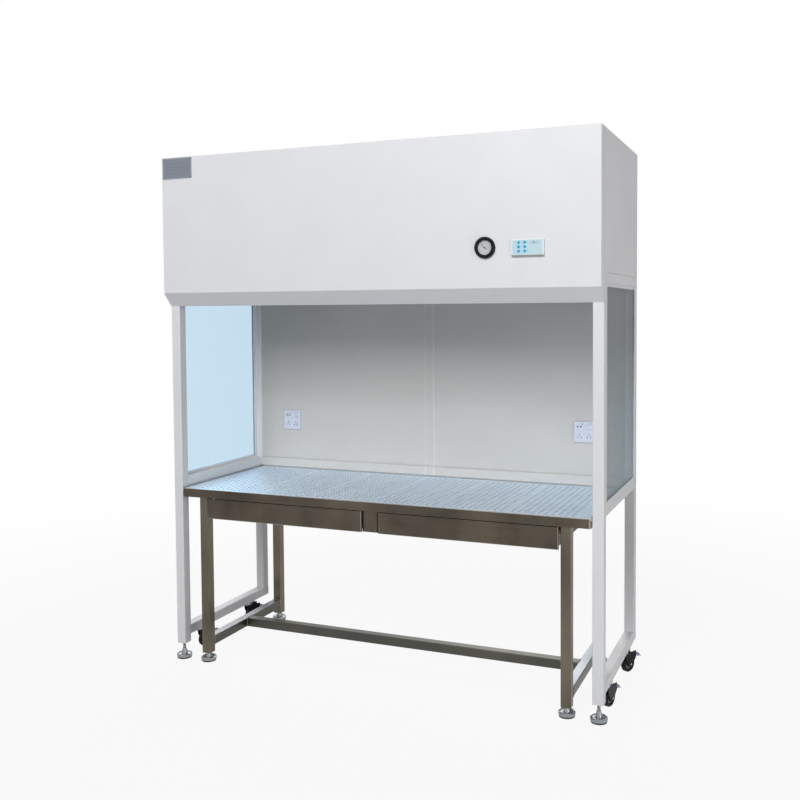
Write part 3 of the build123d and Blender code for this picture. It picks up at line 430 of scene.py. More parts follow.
def makePanelFinish():
    # printed membrane by X and Z: pale frame, blue field, a halo and a small lamp dot for each key
    f = Finish("controlMembrane")
    x, y, z = f.axes()
    u, v = x - controlPanel["centre"][0], z - controlPanel["centre"][1]
    slow = f.noise(25.0, 3.0, 0.6)
    field = f.blend(slow, tone(176, 206, 226), tone(196, 222, 228))
    colour = f.blend(((u + 0.03) / 0.08).clipped() * 0.5, field, tone(198, 224, 226))
    halo, dots = None, None
    for column in controlPanel["columns"]:
        for row in controlPanel["rows"]:
            distance = ((u - column) * (u - column) + (v - row) * (v - row)).root()
            near = (1 - (distance - controlPanel["key"]) / (controlPanel["halo"] - controlPanel["key"])).clipped()
            halo = near if halo is None else halo.maths("MAXIMUM", halo, near)
            side = u - column - controlPanel["lampSide"]
            dot = (side * side + (v - row) * (v - row)).root() < controlPanel["lampDot"]
            dots = dot if dots is None else dots.maths("MAXIMUM", dots, dot)
    colour = f.blend(halo * 0.8, colour, tone(150, 222, 244))
    colour = f.blend(dots * 0.75, colour, tone(84, 112, 128))
    middle, rise, wide, tall = controlPanel["display"]
    screen = (abs(u - middle) < wide) * (abs(v - rise) < tall)
    colour = f.blend(screen * 0.85, colour, tone(176, 200, 212))
    frameX, frameZ = controlPanel["edge"]
    halfX, halfZ = controlPanel["half"]
    outside = ((abs(u) > halfX - frameX) + (abs(v) > halfZ - frameZ)).clipped()
    colour = f.blend(outside, colour, tone(233, 238, 238))
    strip = (v < -halfZ + controlPanel["foot"]) * (v > -halfZ + 0.0005)
    colour = f.blend(strip, colour, tone(134, 132, 130))
    colour = f.blend(1 - (y < controlPanel["face"]), colour, tone(214, 218, 220))
    fine = f.noise(900.0, 2.0, 0.5)
    return f.principled({"Base Color": colour, "Roughness": 0.3 + 0.12 * fine, "Normal": f.bump(fine, 0.3, 0.00003)})


socketMarks = {
    "x": 0.6925, "z": 0.945, "front": 0.299, "half": 0.041,
    "pins": ((-0.027, 0.022), (-0.014, 0.022)), "pinReach": 0.0034,      # shuttered round pins
}


def makeSocketFinish():
    # pale moulded plate; painted shade darkens the recesses and pin holes by depth behind the front face
    f = Finish("socketMoulding")
    x, y, z = f.axes()
    slow = f.noise(30.0, 3.0, 0.5)
    fine = f.noise(900.0, 2.0, 0.5)
    shell = f.blend(slow, tone(206, 210, 226), tone(216, 220, 234))
    across, up = abs(abs(x) - socketMarks["x"]), abs(z - socketMarks["z"])
    inner = (across < socketMarks["half"]) * (up < socketMarks["half"])
    deep = ((y - socketMarks["front"] - 0.0001) / 0.0005).clipped()
    dark = inner * deep
    for pin in socketMarks["pins"]:
        for side in (-1, 1):
            u, v = x - (side * socketMarks["x"] + pin[0]), z - (socketMarks["z"] + pin[1])
            dark = dark.maths("MAXIMUM", dark, ((u * u + v * v).root() < socketMarks["pinReach"]) * (y < 0.3))
    colour = f.blend(dark, shell, tone(34, 34, 40))
    return f.principled(
        {"Base Color": colour, "Roughness": 0.26 + 0.12 * fine, "Normal": f.bump(fine, 0.3, 0.00003)}
    )


footMarks = {"threadPitch": 0.00175, "threadFrom": 0.0402, "rubberTop": 0.0062}


def makeFootFinish():
    # bright zinc with rings of screw thread on the stem, a cosine of the height
    f = Finish("footZinc")
    x, y, z = f.axes()
    grain = f.noise(300.0, 4.0, 0.6)
    tint = f.blend(grain, tone(118, 121, 125), tone(160, 163, 167))
    thread = (z * (tau / footMarks["threadPitch"])).cosine() * (z > footMarks["threadFrom"])
    rubber = z < footMarks["rubberTop"]
    colour = f.blend(rubber, tint, tone(40, 41, 43))
    return f.principled(
        {
            "Base Color": colour,
            "Metallic": 1 - rubber,
            "Roughness": (0.3 + 0.16 * grain) * (1 - rubber) + 0.6 * rubber,
            "Normal": f.bump(thread + grain * 0.1, 0.8, 0.0004),
        }
    )


wallMarks = {
    "sealTop": 0.7242, "sheetBack": 0.3088, "railBack": 0.3385,      # rubber below, white behind
    "stripEdge": 0.0197, "stripFace": 0.3079, "stripHalf": 0.0009,   # edges of the middle seam strip, where a highlight is painted
}


def makeWallFinish(name, sealTop, whiteFrom):
    # sheets and rails behind the bench: painted shade makes them darker than the rest in front, white on their
    # backs, with a painted highlight on the seam strip's edges and pale rubber below sealTop
    f = Finish(name)
    x, y, z = f.axes()
    drift = f.noise(5.0, 4.0, 0.6)
    peel = f.noise(whitePaint["peelScale"], 2.0, 0.5)
    wave = f.noise(3.0, 2.0, 0.5, stretch=(1.0, 1.0, 0.5))
    paint = f.blend(drift, *whitePaint["shaded"])
    paint = f.blend(y > whiteFrom, paint, f.blend(drift, whitePaint["colour"], whitePaint["worn"]))
    seal = z < sealTop
    colour = f.blend(seal, paint, tone(190, 190, 188))
    # a painted highlight along both edges of the seam strip
    nearEdge = abs(abs(x) - wallMarks["stripEdge"]) < wallMarks["stripHalf"]
    stripEdge = nearEdge * (y < wallMarks["stripFace"])
    colour = f.blend(stripEdge * 0.7, colour, tone(252, 252, 250))
    normal = f.bump(wave, 0.4, 0.0008, f.bump(peel, 0.35, whitePaint["peelDepth"]))
    return f.principled({"Base Color": colour, "Roughness": 0.4 + 0.14 * drift + 0.2 * seal, "Normal": normal})


def makePleatFinish(name, axis, pitch):
    # folded filter paper: a triangle wave of the given pitch in height and in painted shade
    f = Finish(name)
    place = f.axes()[axis]
    wave = abs((place * (1 / pitch)).maths("PINGPONG", place * (1 / pitch), 1.0) - 0.5) * 2
    fibre = f.noise(1400.0, 3.0, 0.6)
    colour = f.blend(wave * 0.6 + fibre * 0.2, tone(236, 236, 230), tone(206, 207, 202))
    return f.principled(
        {"Base Color": colour, "Roughness": 0.8 + 0.15 * fibre, "Normal": f.bump(wave + fibre * 0.1, 0.7, 0.002)}
    )


# places the finishes need, read from the frame
legs, legsHigh = faceRange("bench_frame")
legWidth = 0.038
frameMarks = {
    "railTop": 0.1,
    "legInner": legsHigh[0] - legWidth - 0.0005,
    "legFrontBack": legs[1] + legWidth + 0.0005,
    "legRearFront": legsHigh[1] - legWidth - 0.0005,
}
# bands on the steel: (axis, place, half width); lip and drawer bands are painted highlights, divider bands painted
# shade
steelBands = {
    "lip": ((2, 0.7195, 0.0009), (0, 0.851, 0.0035)),
    "drawer": ((2, 0.6026, 0.001), (0, 0.7372, 0.0014), (0, -0.0372, 0.0014)),
    "divider": ((0, -0.0345, 0.0025), (0, 0.0275, 0.0025)),
    "plateUnder": 0.7172,          # below this the bench top gets the lips' dark painted shade
}

finishes = {
    "cover": makeWhitePaint("coverPaint", 0.0009, seam=faceRange("front_cover")[1][1]),
    "frame": makeWhitePaint("framePaint"),
    "wall": makeWallFinish("wallSheet", wallMarks["sealTop"], wallMarks["sheetBack"]),
    "grille": makeWhitePaint("grillePaint"),
    "rail": makeWallFinish("railSheet", 0.0, wallMarks["railBack"]),
    "benchTop": makeStainless(
        "benchTopSteel", stainless["topLitTone"], "x", (0.48, 0.6), below=steelBands["plateUnder"]
    ),
    "benchLip": makeStainless("benchLipSteel", stainless["lipShadeTone"], "x", edges=steelBands["lip"]),
    "benchFrame": makeStainless("benchFrameSteel", stainless["frameShadeTone"], "frame"),
    "drawer": makeStainless("drawerSteel", stainless["lipShadeTone"], "x", edges=steelBands["drawer"]),
    "divider": makeStainless("dividerSteel", stainless["lipShadeTone"], "z", dark=steelBands["divider"]),
    "holeWall": makePlastic("holeShade", (34, 36, 40), (0.6, 0.7), drift=6),
    "zinc": makeZinc("galvanisedSheet"),
    "foot": makeFootFinish(),
    "bright": makeZinc("brightZinc", (88, 90, 96), (0.16, 0.3), 400.0),
    "fork": makeZinc("forkZinc", (21, 21, 24), (0.22, 0.36), 400.0),
    "pedal": makeZinc("pedalZinc", (150, 143, 178), (0.16, 0.3), 400.0),
    "socket": makeSocketFinish(),
    "rocker": makePlastic("rockerPlastic", (210, 214, 230)),
    "panel": makePanelFinish(),
    "black": makePlastic("blackPlastic", (14, 15, 17), (0.24, 0.34), drift=4, gloss=0.12),
    "keys": makePlastic("keyBlue", (40, 148, 214), (0.25, 0.35)),
    "needle": makePlastic("needlePaint", (132, 66, 62)),
    "rubber": makeRubber("tyreRubber"),
    "glass": makeWindowGlass("windowPane", windowGlass["tint"]),
    "dialGlass": makeWindowGlass("dialGlass", windowGlass["clear"]),
    "lamp": makeLampGlass("lampGlass"),
    "motor": makePlastic("motorPaint", (58, 60, 66), (0.4, 0.6)),
    "media": makePleatFinish("pleatedPaper", 0, 0.006),
    "mat": makePleatFinish("filterMat", 1, 0.012),
}


def dress(finish, *names):
    for name in names:
        mesh = nodes[name].data
        if not mesh.materials:
            mesh.materials.append(finishes[finish])
        for slot in nodes[name].material_slots:
            slot.material = finishes[finish]


dress("cover", "front_cover", "cabinet_shell")
dress("frame", "side_frame_left", "side_frame_right", "window_beads", "lamp_battens")
dress("rail", "cross_rails")
dress("wall", "rear_panels")
dress("grille", "diffuser_grille")
dress("benchTop", "bench_top")
dress("benchFrame", "bench_frame")
dress("drawer", "drawer_left", "drawer_right", "drawer_runners")
dress("divider", "drawer_divider")
dress("zinc", "filter_deck", "blower_deck", "blower_scroll_left", "blower_scroll_right", "caster_plates")
dress("zinc", "impeller_left", "impeller_right")
dress("media", "hepa_filters")
dress("mat", "prefilters")
dress("motor", "blower_motors")
dress("glass", "window_left", "window_right")
dress("dialGlass", "gauge_lens")
dress("lamp", "lamps")
dress("socket", "sockets")
dress("rocker", "socket_rocker_left", "socket_rocker_right")
dress("panel", "control_panel")
dress("black", "gauge_housing", "power_inlet")
dress("needle", "gauge_needle")
dress("keys", *[n for n in nodes if n.startswith("key_")])
dress("foot", *[n for n in nodes if "_foot_" in n])
dress("fork", *[n for n in nodes if n.startswith("caster_fork")])
dress("pedal", *[n for n in nodes if n.startswith("caster_brake")])
dress("rubber", *[n for n in nodes if n.startswith("caster_wheel")])
print("finishes made:", len(finishes))


# perforated bench top
benchTop = {
    "fields": 6,
    "rows": 10,
    "rowPitch": 0.025,
    "fieldGap": 0.0375,
    "endMargin": 0.06725,
    "rowWidth": 0.006,
    "holePitch": 0.023,
    "holeRadius": 0.004,
    "frontMargin": 0.024,
    "rearMargin": 0.036,
    "sheet": 0.002,
    "ledge": 0.028,
    "step": 0.002,
    "lip": 0.035,
    "nose": 0.002,
    "sides": 12,                   # points round a hole
    "returnDeep": 0.012,           # the lip's small return below
    "returnThick": 0.0015,
}


def holeCell(width, depth):
    # a rectangle with a round hole: outer points on the border, inner ones on the circle, both by angle
    t = (np.arange(benchTop["sides"]) + 0.5) * tau / benchTop["sides"]
    circle = np.stack([np.cos(t), np.sin(t)], -1) * benchTop["holeRadius"]
    reach = np.maximum(abs(np.cos(t)) / (width / 2), abs(np.sin(t)) / (depth / 2))
    border = np.stack([np.cos(t), np.sin(t)], -1) / reach[:, None]
    corners = np.array([[width, depth], [-width, depth], [-width, -depth], [width, -depth]]) / 2
    return circle, border, corners


def perforatedSheet(low, high):
    # the sheet as strips and rows of hole cells, top and underside, with a wall round each hole
    count = benchTop["sides"]
    pitch = benchTop["rowPitch"]
    front, rear = low[1] + benchTop["nose"], high[1] - benchTop["ledge"]
    rowLow, rowHigh = low[1] + benchTop["frontMargin"], rear - benchTop["rearMargin"]
    perRow = int((rowHigh - rowLow) / benchTop["holePitch"])
    cellDepth = (rowHigh - rowLow) / perRow
    circle, border, corners = holeCell(pitch, cellDepth)
    fieldWidth = (benchTop["rows"] - 1) * pitch + benchTop["rowWidth"]
    firstRow = low[0] + benchTop["endMargin"] + benchTop["rowWidth"] / 2
    field, row, hole = np.meshgrid(
        np.arange(benchTop["fields"]), np.arange(benchTop["rows"]), np.arange(perRow), indexing="ij"
    )
    centreX = (firstRow + field * (fieldWidth + benchTop["fieldGap"]) + row * pitch).ravel()
    centreY = (rowLow + (hole + 0.5) * cellDepth).ravel()
    centres = np.stack([centreX, centreY], -1)
    top, under = high[2], high[2] - benchTop["sheet"]
    ring = np.concatenate([circle, border, corners])
    flat = (centres[:, None, :] + ring[None]).reshape(len(centres), -1, 2)
    upper = np.concatenate([flat, np.full(flat.shape[:2] + (1,), top)], -1)
    lower = np.concatenate([flat, np.full(flat.shape[:2] + (1,), under)], -1)
    points = np.stack([upper, lower], 1).reshape(-1, 3)
    size = len(ring)
    k = np.arange(count)
    k2 = (k + 1) % count
    ringQuads = np.stack([k, count + k, count + k2, k2], -1)
    wallQuads = np.stack([k, k2, size + k2, size + k], -1)
    cell = [list(q) for q in ringQuads]
    angle = (k + 0.5) * tau / count
    cornerAngle = np.arctan2(corners[:, 1], corners[:, 0]) % tau
    for c, a in enumerate(cornerAngle):
        before = int(np.searchsorted(angle, a)) - 1
        first, second = before % count, (before + 1) % count
        cell[first] = [first, count + first, 2 * count + c, count + second, second]
    under = [[i + size for i in f][::-1] for f in cell]
    block = cell + under + [list(q) for q in wallQuads]
    faces = [[i + n * 2 * size for i in f] for n in range(len(centres)) for f in block]
    holeFaces = len(faces)
    points, faces, index = welded(points, faces)
    # every field is closed by a wall under each edge of its top that only one face uses
    start = np.concatenate(faces)
    end = np.concatenate([f[1:] + f[:1] for f in faces])
    lonely = ~np.isin(start * len(points) + end, end * len(points) + start)
    lonely &= (points[start, 2] > top - 0.0001) & (points[end, 2] > top - 0.0001)
    beneath = np.zeros(len(points), dtype=int)
    pairs = index.reshape(len(centres), 2, size)
    beneath[pairs[:, 0].ravel()] = pairs[:, 1].ravel()
    a, b = start[lonely], end[lonely]
    faces += np.stack([b, a, beneath[a], beneath[b]], -1).tolist()
    marks = {"holeFaces": holeFaces, "rowLow": rowLow, "rowHigh": rowHigh, "front": front, "rear": rear}
    edges = []
    for n in range(benchTop["fields"]):
        start = firstRow + n * (fieldWidth + benchTop["fieldGap"]) - pitch / 2
        edges.append((start, start + benchTop["rows"] * pitch))
    return points, faces, marks, edges


def plainStrips(low, high, marks, edges):
    # slabs between the hole fields, in front of them and behind them
    top, under = high[2], high[2] - benchTop["sheet"]
    left, right = low[0] + benchTop["nose"], high[0] - benchTop["nose"]
    spans = [(left, edges[0][0])] + [(a[1], b[0]) for a, b in zip(edges, edges[1:])] + [(edges[-1][1], right)]

    def slab(a, b, *along):
        return barShape([(a, under), (b, under), (b, top), (a, top)], *along)

    shapes = [slab(a, b, 1, marks["rowLow"], marks["rowHigh"]) for a, b in spans]
    ends = ((marks["front"], marks["rowLow"]), (marks["rowHigh"], marks["rear"]))
    return shapes + [slab(a, b, 0, left, right) for a, b in ends]


def lipSection(edge, top, low, sign):
    # folded edge seen along its length: a quarter-round nose, a flat face and a small return below
    nose, sheetT = benchTop["nose"], benchTop["sheet"]
    t = np.linspace(0, math.pi / 2, 5)
    outer = np.stack([edge + sign * nose * (1 - np.sin(t)), top - nose * (1 - np.cos(t))], -1)
    inner, up = edge + sign * benchTop["returnDeep"], low + benchTop["returnThick"]
    down = [(edge, low), (inner, low), (inner, up), (edge + sign * sheetT, up)]
    down += [(edge + sign * sheetT, top - sheetT), (edge + sign * nose, top - sheetT)]
    return np.concatenate([outer, np.array(down)])


low, high = faceRange("bench_top")
sheetPoints, sheetFaces, marks, edges = perforatedSheet(low, high)
plain = plainStrips(low, high, marks, edges)
lipLow = high[2] - benchTop["lip"]
stepTop = high[2] - benchTop["step"]
rear = high[1] - benchTop["ledge"]
sheetT = benchTop["sheet"]
ledgeSection = [
    (rear - sheetT, high[2]), (rear, high[2]), (rear, stepTop), (high[1], stepTop), (high[1], lipLow),
    (high[1] - sheetT, lipLow), (high[1] - sheetT, stepTop - sheetT), (rear - sheetT, stepTop - sheetT),
]
plain.append(barShape(ledgeSection, 0, low[0], high[0]))
topPoints, topFaces = joined([(sheetPoints, sheetFaces)] + plain)
benchPlate = newPiece("benchPlate", topPoints, topFaces, "root", "stainless", finishes["benchTop"])
benchPlate.data.materials.append(finishes["holeWall"])
# of each hole's faces, the last third are its wall
order = np.arange(len(topFaces))
wallIndex = (order % (3 * benchTop["sides"]) >= 2 * benchTop["sides"]) & (order < marks["holeFaces"])
benchPlate.data.polygons.foreach_set("material_index", wallIndex.astype(np.int32))
lips = [
    barShape(lipSection(low[1], high[2], lipLow, 1), 0, low[0], high[0]),
    barShape(lipSection(low[0], high[2], lipLow, 1), 1, low[1] + sheetT, rear),
    barShape(lipSection(high[0], high[2], lipLow, -1), 1, low[1] + sheetT, rear),
]
lipPoints, lipFaces = joined(lips)
benchLips = newPiece("benchLips", lipPoints, lipFaces, "root", "stainless", finishes["benchLip"])
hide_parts("bench_top")
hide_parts("bench_top")
print("bench top made:", len(topFaces), "faces")


# soft strips that close the gaps beside the bench top
sideSeal = {"from": 0.8542, "to": 0.8598, "top": 0.7266, "deep": 0.0145, "crown": 0.0012, "ends": (-0.293, 0.299)}


def sealSection(side):
    # a strip with a raised round back: z = top - crown * (2 s - 1)^2, s across the gap
    s = np.linspace(0, 1, 7)
    across = sideSeal["from"] + (sideSeal["to"] - sideSeal["from"]) * s
    upper = np.stack([side * across, sideSeal["top"] - sideSeal["crown"] * (2 * s - 1) ** 2], -1)
    base = sideSeal["top"] - sideSeal["deep"]
    return np.concatenate([upper, [(side * sideSeal["to"], base), (side * sideSeal["from"], base)]])


sealShapes = [barShape(sealSection(side), 1, *sideSeal["ends"]) for side in (-1, 1)]
finishes["seal"] = makePlastic("sealRubber", (168, 174, 182), (0.6, 0.75), gloss=0.2)
newPiece("benchSideSeals", *joined(sealShapes), "root", "wheel_rubber", finishes["seal"])


# nameplate, bare
namePlate = {
    "x": (-0.895, -0.755), "z": (1.983, 2.067), "thick": 0.0006, "corner": 0.003,
    "rules": (2.044, 2.03, 2.018, 2.006),          # blank ruled lines
    "back": -0.340, "rivet": (0.0019, 0.0011), "inset": 0.005,      # a rivet's radius and rise
}


def makePlateFinish():
    # slate anodised plate with a pale border line and dark blank ruled lines, both by Object coordinates
    f = Finish("plateSlate")
    x, y, z = f.axes()
    brushed = f.noise(1.0, 2.0, 0.5, stretch=(20.0, 400.0, 1500.0))
    xs, zs = namePlate["x"], namePlate["z"]
    insideX = abs(x - (xs[0] + xs[1]) / 2) / ((xs[1] - xs[0]) / 2)
    insideZ = abs(z - (zs[0] + zs[1]) / 2) / ((zs[1] - zs[0]) / 2)
    outer = ((insideX > 0.93) + (insideZ > 0.90)).clipped()
    inner = ((insideX > 0.945) + (insideZ > 0.925)).clipped()
    line = (outer - inner).clipped()
    rules = None
    for spot in namePlate["rules"]:
        rule = abs(z - spot) < 0.0005
        rules = rule if rules is None else rules + rule
    rules = rules * (insideX < 0.84)
    slate = f.blend(brushed, tone(118, 124, 134), tone(132, 138, 148))
    colour = f.blend(line * 0.7, slate, tone(196, 200, 206))
    colour = f.blend(rules.clipped() * 0.6, colour, tone(74, 80, 92))
    return f.principled({"Base Color": colour, "Metallic": 0.35, "Roughness": 0.34 + 0.12 * brushed})


def roundedSection(xs, zs, corner, steps=5):
    # a rectangle with round corners as (x, z) points, anticlockwise
    points = []
    for cx, cz, start in (
        (xs[1] - corner, zs[1] - corner, 0), (xs[0] + corner, zs[1] - corner, 1),
        (xs[0] + corner, zs[0] + corner, 2), (xs[1] - corner, zs[0] + corner, 3),
    ):
        t = (start + np.linspace(0, 1, steps)) * math.pi / 2
        points.append(np.stack([cx + corner * np.cos(t), cz + corner * np.sin(t)], -1))
    return np.concatenate(points)


plateSection = roundedSection(namePlate["x"], namePlate["z"], namePlate["corner"])
plateFront = namePlate["back"] - namePlate["thick"]
plateShape = barShape(plateSection, 1, plateFront, namePlate["back"])
newPiece("namePlate", *plateShape, "root", "panel_plastic", makePlateFinish())


def domeShape(radius, rise, steps, place):
    # a half ellipse turned about Y: height = rise * sqrt(1 - s^2), s from the middle to the rim
    s = np.linspace(1.0, 0.0, 6)[:-1]
    points, faces = turnedShape(np.stack([s * radius, rise * np.sqrt(1 - s ** 2)], -1), steps)
    return aimed(points, (0, -1, 0), place), faces


inset = namePlate["inset"]
rivets = [
    domeShape(*namePlate["rivet"], 16, (x, plateFront, z))
    for x in (namePlate["x"][0] + inset, namePlate["x"][1] - inset)
    for z in (namePlate["z"][0] + inset, namePlate["z"][1] - inset)
]
newPiece("plateRivets", *joined(rivets), "root", "zinc", finishes["bright"], smooth=True)


# screws
screw = {"radius": 0.0034, "rise": 0.0014, "slot": 0.0006, "reach": 0.0021, "deep": 0.0007}
screwPlaces = {
    "panelX": (0.016, 0.29, 0.57, 0.845), "panelEnds": (0.776, 1.525), "panelSides": (0.963, 1.15, 1.338),
    "trayDepth": 0.0188,           # the wall trays are open behind, so their sheet lies this much deeper
    "shellX": np.linspace(-0.886, 0.886, 7), "shellZ": (1.59, 2.057),
    "beadX": 0.885, "beadInset": 0.005, "beadZ": np.linspace(0.80, 1.50, 5),
    "dividerX": (-0.02, 0.018), "dividerY": -0.283, "dividerZ": (0.6095, 0.6755),
}


def crossScrew(place, direction, size=1.0):
    # domed head on a polar grid: height = rise * (1 - 0.8 (r/R)^2), less a cross-shaped recess in the middle
    rings, steps = np.linspace(1.0, 0.0, 7)[:-1], 16
    r, t = np.meshgrid(rings * screw["radius"], (np.arange(steps) + 0.5) * tau / steps, indexing="ij")
    x, y = r * np.cos(t), r * np.sin(t)
    height = screw["rise"] * (1 - 0.8 * (r / screw["radius"]) ** 2)
    height[0] = 0.0
    near = np.minimum(abs(x), abs(y)) < screw["slot"]
    inside = near & (np.maximum(abs(x), abs(y)) < screw["reach"])
    height = np.where(inside, height - screw["deep"], height)
    points = np.stack([x, y, height], -1).reshape(-1, 3)
    return aimed(points * size, direction, place), cappedFaces(len(rings), steps)


def screwRow(places, direction, size=1.0):
    return joined([crossScrew(place, direction, size) for place in places])


wallBack = faceRange("rear_panels")[1][1] - screwPlaces["trayDepth"]
panelX = screwPlaces["panelX"]
panelScrews = [(side * x, wallBack, z) for side in (-1, 1) for x in panelX for z in screwPlaces["panelEnds"]]
panelScrews += [
    (side * x, wallBack, z) for side in (-1, 1) for x in (panelX[0], panelX[-1]) for z in screwPlaces["panelSides"]
]
newPiece("panelScrews", *screwRow(panelScrews, (0, 1, 0)), "root", "zinc", finishes["bright"])
shellBack = faceRange("cabinet_shell")[1][1]
shellScrews = [(x, shellBack, z) for x in screwPlaces["shellX"] for z in screwPlaces["shellZ"]]
newPiece("shellScrews", *screwRow(shellScrews, (0, 1, 0)), "root", "zinc", finishes["bright"])
beadLow, beadHigh = faceRange("window_beads")
beadY = (beadLow[1] + screwPlaces["beadInset"], beadHigh[1] - screwPlaces["beadInset"])
beadHeads = [
    screwRow([(side * screwPlaces["beadX"], y, z) for y in beadY for z in screwPlaces["beadZ"]], (-side, 0, 0), 0.8)
    for side in (-1, 1)
]
newPiece("beadScrews", *joined(beadHeads), "root", "white_paint", finishes["frame"])
print("screws made")


# pressure gauge dial
dial = {
    "centre": (0.4855, 1.6675), "face": -0.344, "outer": 0.0256, "hole": 0.0033, "thick": 0.0002, "ticks": 30,
    "numbers": ("0", "50", "100", "150", "200", "250", "300"), "numberSweep": 4.18, "numberStart": -2.09,
    "numberRing": 0.53, "numberSize": 0.0042, "print": 0.00026,      # the print stands this far off the face
    "unit": "Pa", "unitSize": 0.0045, "unitDrop": 0.0165,
}


def makeDialFinish():
    # pale disc; radial marks come from the angle, longer every fifth one, and an arc line joins them
    f = Finish("dialFace")
    x, y, z = f.axes()
    u, v = x - dial["centre"][0], z - dial["centre"][1]
    radius = (u * u + v * v).root() / dial["outer"]
    angle = u.maths("ARCTAN2", u, v)
    turn = angle * (dial["ticks"] / tau)
    fine = abs(turn.maths("FRACT", turn + 0.5) - 0.5)
    coarse = turn.maths("FRACT", turn / 5 + 0.5) - 0.5
    sweep = abs(angle) < 2.3
    small = (fine < 0.07) * (radius > 0.74) * (radius < 0.86)
    large = (abs(coarse) < 0.022) * (radius > 0.66) * (radius < 0.86)
    arc = (abs(radius - 0.86) < 0.012)
    marks = ((small + large + arc).clipped() * sweep).clipped()
    slow = f.noise(60.0, 3.0, 0.5)
    ground = f.blend(slow, tone(206, 210, 213), tone(216, 219, 221))
    colour = f.blend(marks * 0.8, ground, tone(60, 62, 66))
    return f.principled({"Base Color": colour, "Roughness": 0.5 + 0.1 * slow})


outer, hole, thick = dial["outer"], dial["hole"], dial["thick"]
dialSection = [(outer, 0.0), (outer, thick), (hole, thick), (hole, 0.0)]
ringPoints, ringFaces = turnedRing(dialSection, 64)
dialPlace = (dial["centre"][0], dial["face"], dial["centre"][1])
newPiece("gaugeDial", aimed(ringPoints, (0, -1, 0), dialPlace), ringFaces, "root", "panel_plastic", makeDialFinish())


def addNumbers(name, words, body, slot, finish):
    # each word is (text, size, centre); a text is made a mesh before it is stood up on its face
    shapes = []
    for text, size, centre in words:
        curve = bpy.data.curves.new(name, "FONT")
        curve.body, curve.size = text, size
        curve.align_x, curve.align_y = "CENTER", "CENTER"
        curve.extrude = 0.00004
        holder = bpy.data.objects.new(name, curve)
        bpy.context.collection.objects.link(holder)
        bpy.context.view_layer.update()
        made = bpy.data.meshes.new_from_object(holder)
        points = np.zeros(len(made.vertices) * 3)
        made.vertices.foreach_get("co", points)
        flat = points.reshape(-1, 3)
        stood = np.stack([flat[:, 0], -flat[:, 2], flat[:, 1]], -1) + np.array(centre)
        shapes.append(welded(stood, [list(p.vertices) for p in made.polygons])[:2])
        bpy.data.objects.remove(holder)
        bpy.data.meshes.remove(made)
    return newPiece(name, *joined(shapes), body, slot, finish)


dialX, dialZ = dial["centre"]
printY = dial["face"] - dial["print"]
numberWords = []
for step, text in enumerate(dial["numbers"]):
    angle = dial["numberStart"] + step * dial["numberSweep"] / 6
    spot = dial["numberRing"] * dial["outer"]
    centre = (dialX + spot * math.sin(angle), printY, dialZ + spot * math.cos(angle))
    numberWords.append((text, dial["numberSize"], centre))
numberWords.append((dial["unit"], dial["unitSize"], (dialX, printY, dialZ - dial["unitDrop"])))
finishes["ink"] = makePlastic("dialInk", (52, 54, 58), (0.5, 0.6))
addNumbers("dialNumbers", numberWords, "root", "black_plastic", finishes["ink"])
display = [("00", 0.0085, (0.6655, -0.34735, 1.68))]
addNumbers("displayDigits", display, "root", "black_plastic", finishes["ink"])
print("dial made")


# key caps
keyCap = {"radius": 0.0043, "rise": 0.0007, "front": -0.3492}


def makeKeyFinish():
    # moulded blue cap with a soft drift in colour
    f = Finish("keyCapBlue")
    slow = f.noise(220.0, 3.0, 0.6)
    tint = f.blend(slow, tone(18, 126, 180), tone(46, 162, 212))
    fine = f.noise(1500.0, 2.0, 0.5)
    return f.principled({"Base Color": tint, "Roughness": 0.24 + 0.1 * fine, "Normal": f.bump(fine, 0.3, 0.00002)})


def capShape(place):
    # a shallow dish-topped dome: height = rise * (1 - s^2) * (0.7 + 0.6 * s^2), s from the middle to the rim
    s, steps = np.linspace(1.0, 0.0, 9)[:-1], 32
    r, t = np.meshgrid(s, np.arange(steps) * tau / steps, indexing="ij")
    height = keyCap["rise"] * (1 - r ** 2) * (0.7 + 0.6 * r ** 2)
    points = np.stack([r * np.cos(t) * keyCap["radius"], r * np.sin(t) * keyCap["radius"], height], -1)
    return aimed(points.reshape(-1, 3), (0, -1, 0), place), cappedFaces(len(s), steps)


finishes["cap"] = makeKeyFinish()
for number, (column, row) in enumerate([(c, r) for c in controlPanel["columns"] for r in controlPanel["rows"]]):
    place = (controlPanel["centre"][0] + column, keyCap["front"], controlPanel["centre"][1] + row)
    capName = "keyCap" + str(number + 1)
    newPiece(capName, *capShape(place), "key_" + str(number + 1), "key_blue", finishes["cap"], smooth=True)
print("key caps made")


# a lamp dome on each socket plate
socketLamp = {"from": (-0.0065, 0.033), "radius": 0.0021, "rise": 0.0012}
lampDomes = []
for side in (-1, 1):
    lampX, lampZ = side * socketMarks["x"] + socketLamp["from"][0], socketMarks["z"] + socketLamp["from"][1]
    spot = (lampX, socketMarks["front"], lampZ)
    lampDomes.append(domeShape(socketLamp["radius"], socketLamp["rise"], 20, spot))
finishes["lens"] = makePlastic("socketLamp", (66, 48, 52), (0.14, 0.2))
newPiece("socketLamps", *joined(lampDomes), "root", "black_plastic", finishes["lens"], smooth=True)


# lock nuts under the front posts
nut = {"flats": 0.0185, "thick": 0.0042, "bore": 0.0062, "under": 0.065, "x": 0.88, "y": -0.275, "chamfer": 0.0006}


def hexNut(place):
    # six-sided section with chamfered corners: radius 0.93 R at both faces, R between, and a bore
    corner, thick, bevel = nut["flats"] / math.sqrt(3), nut["thick"], nut["chamfer"]
    section = [(0.93 * corner, 0), (corner, bevel), (corner, thick - bevel), (0.93 * corner, thick)]
    points, faces = turnedRing(section + [(nut["bore"], thick), (nut["bore"], 0)], 6)
    return points + np.array(place), faces


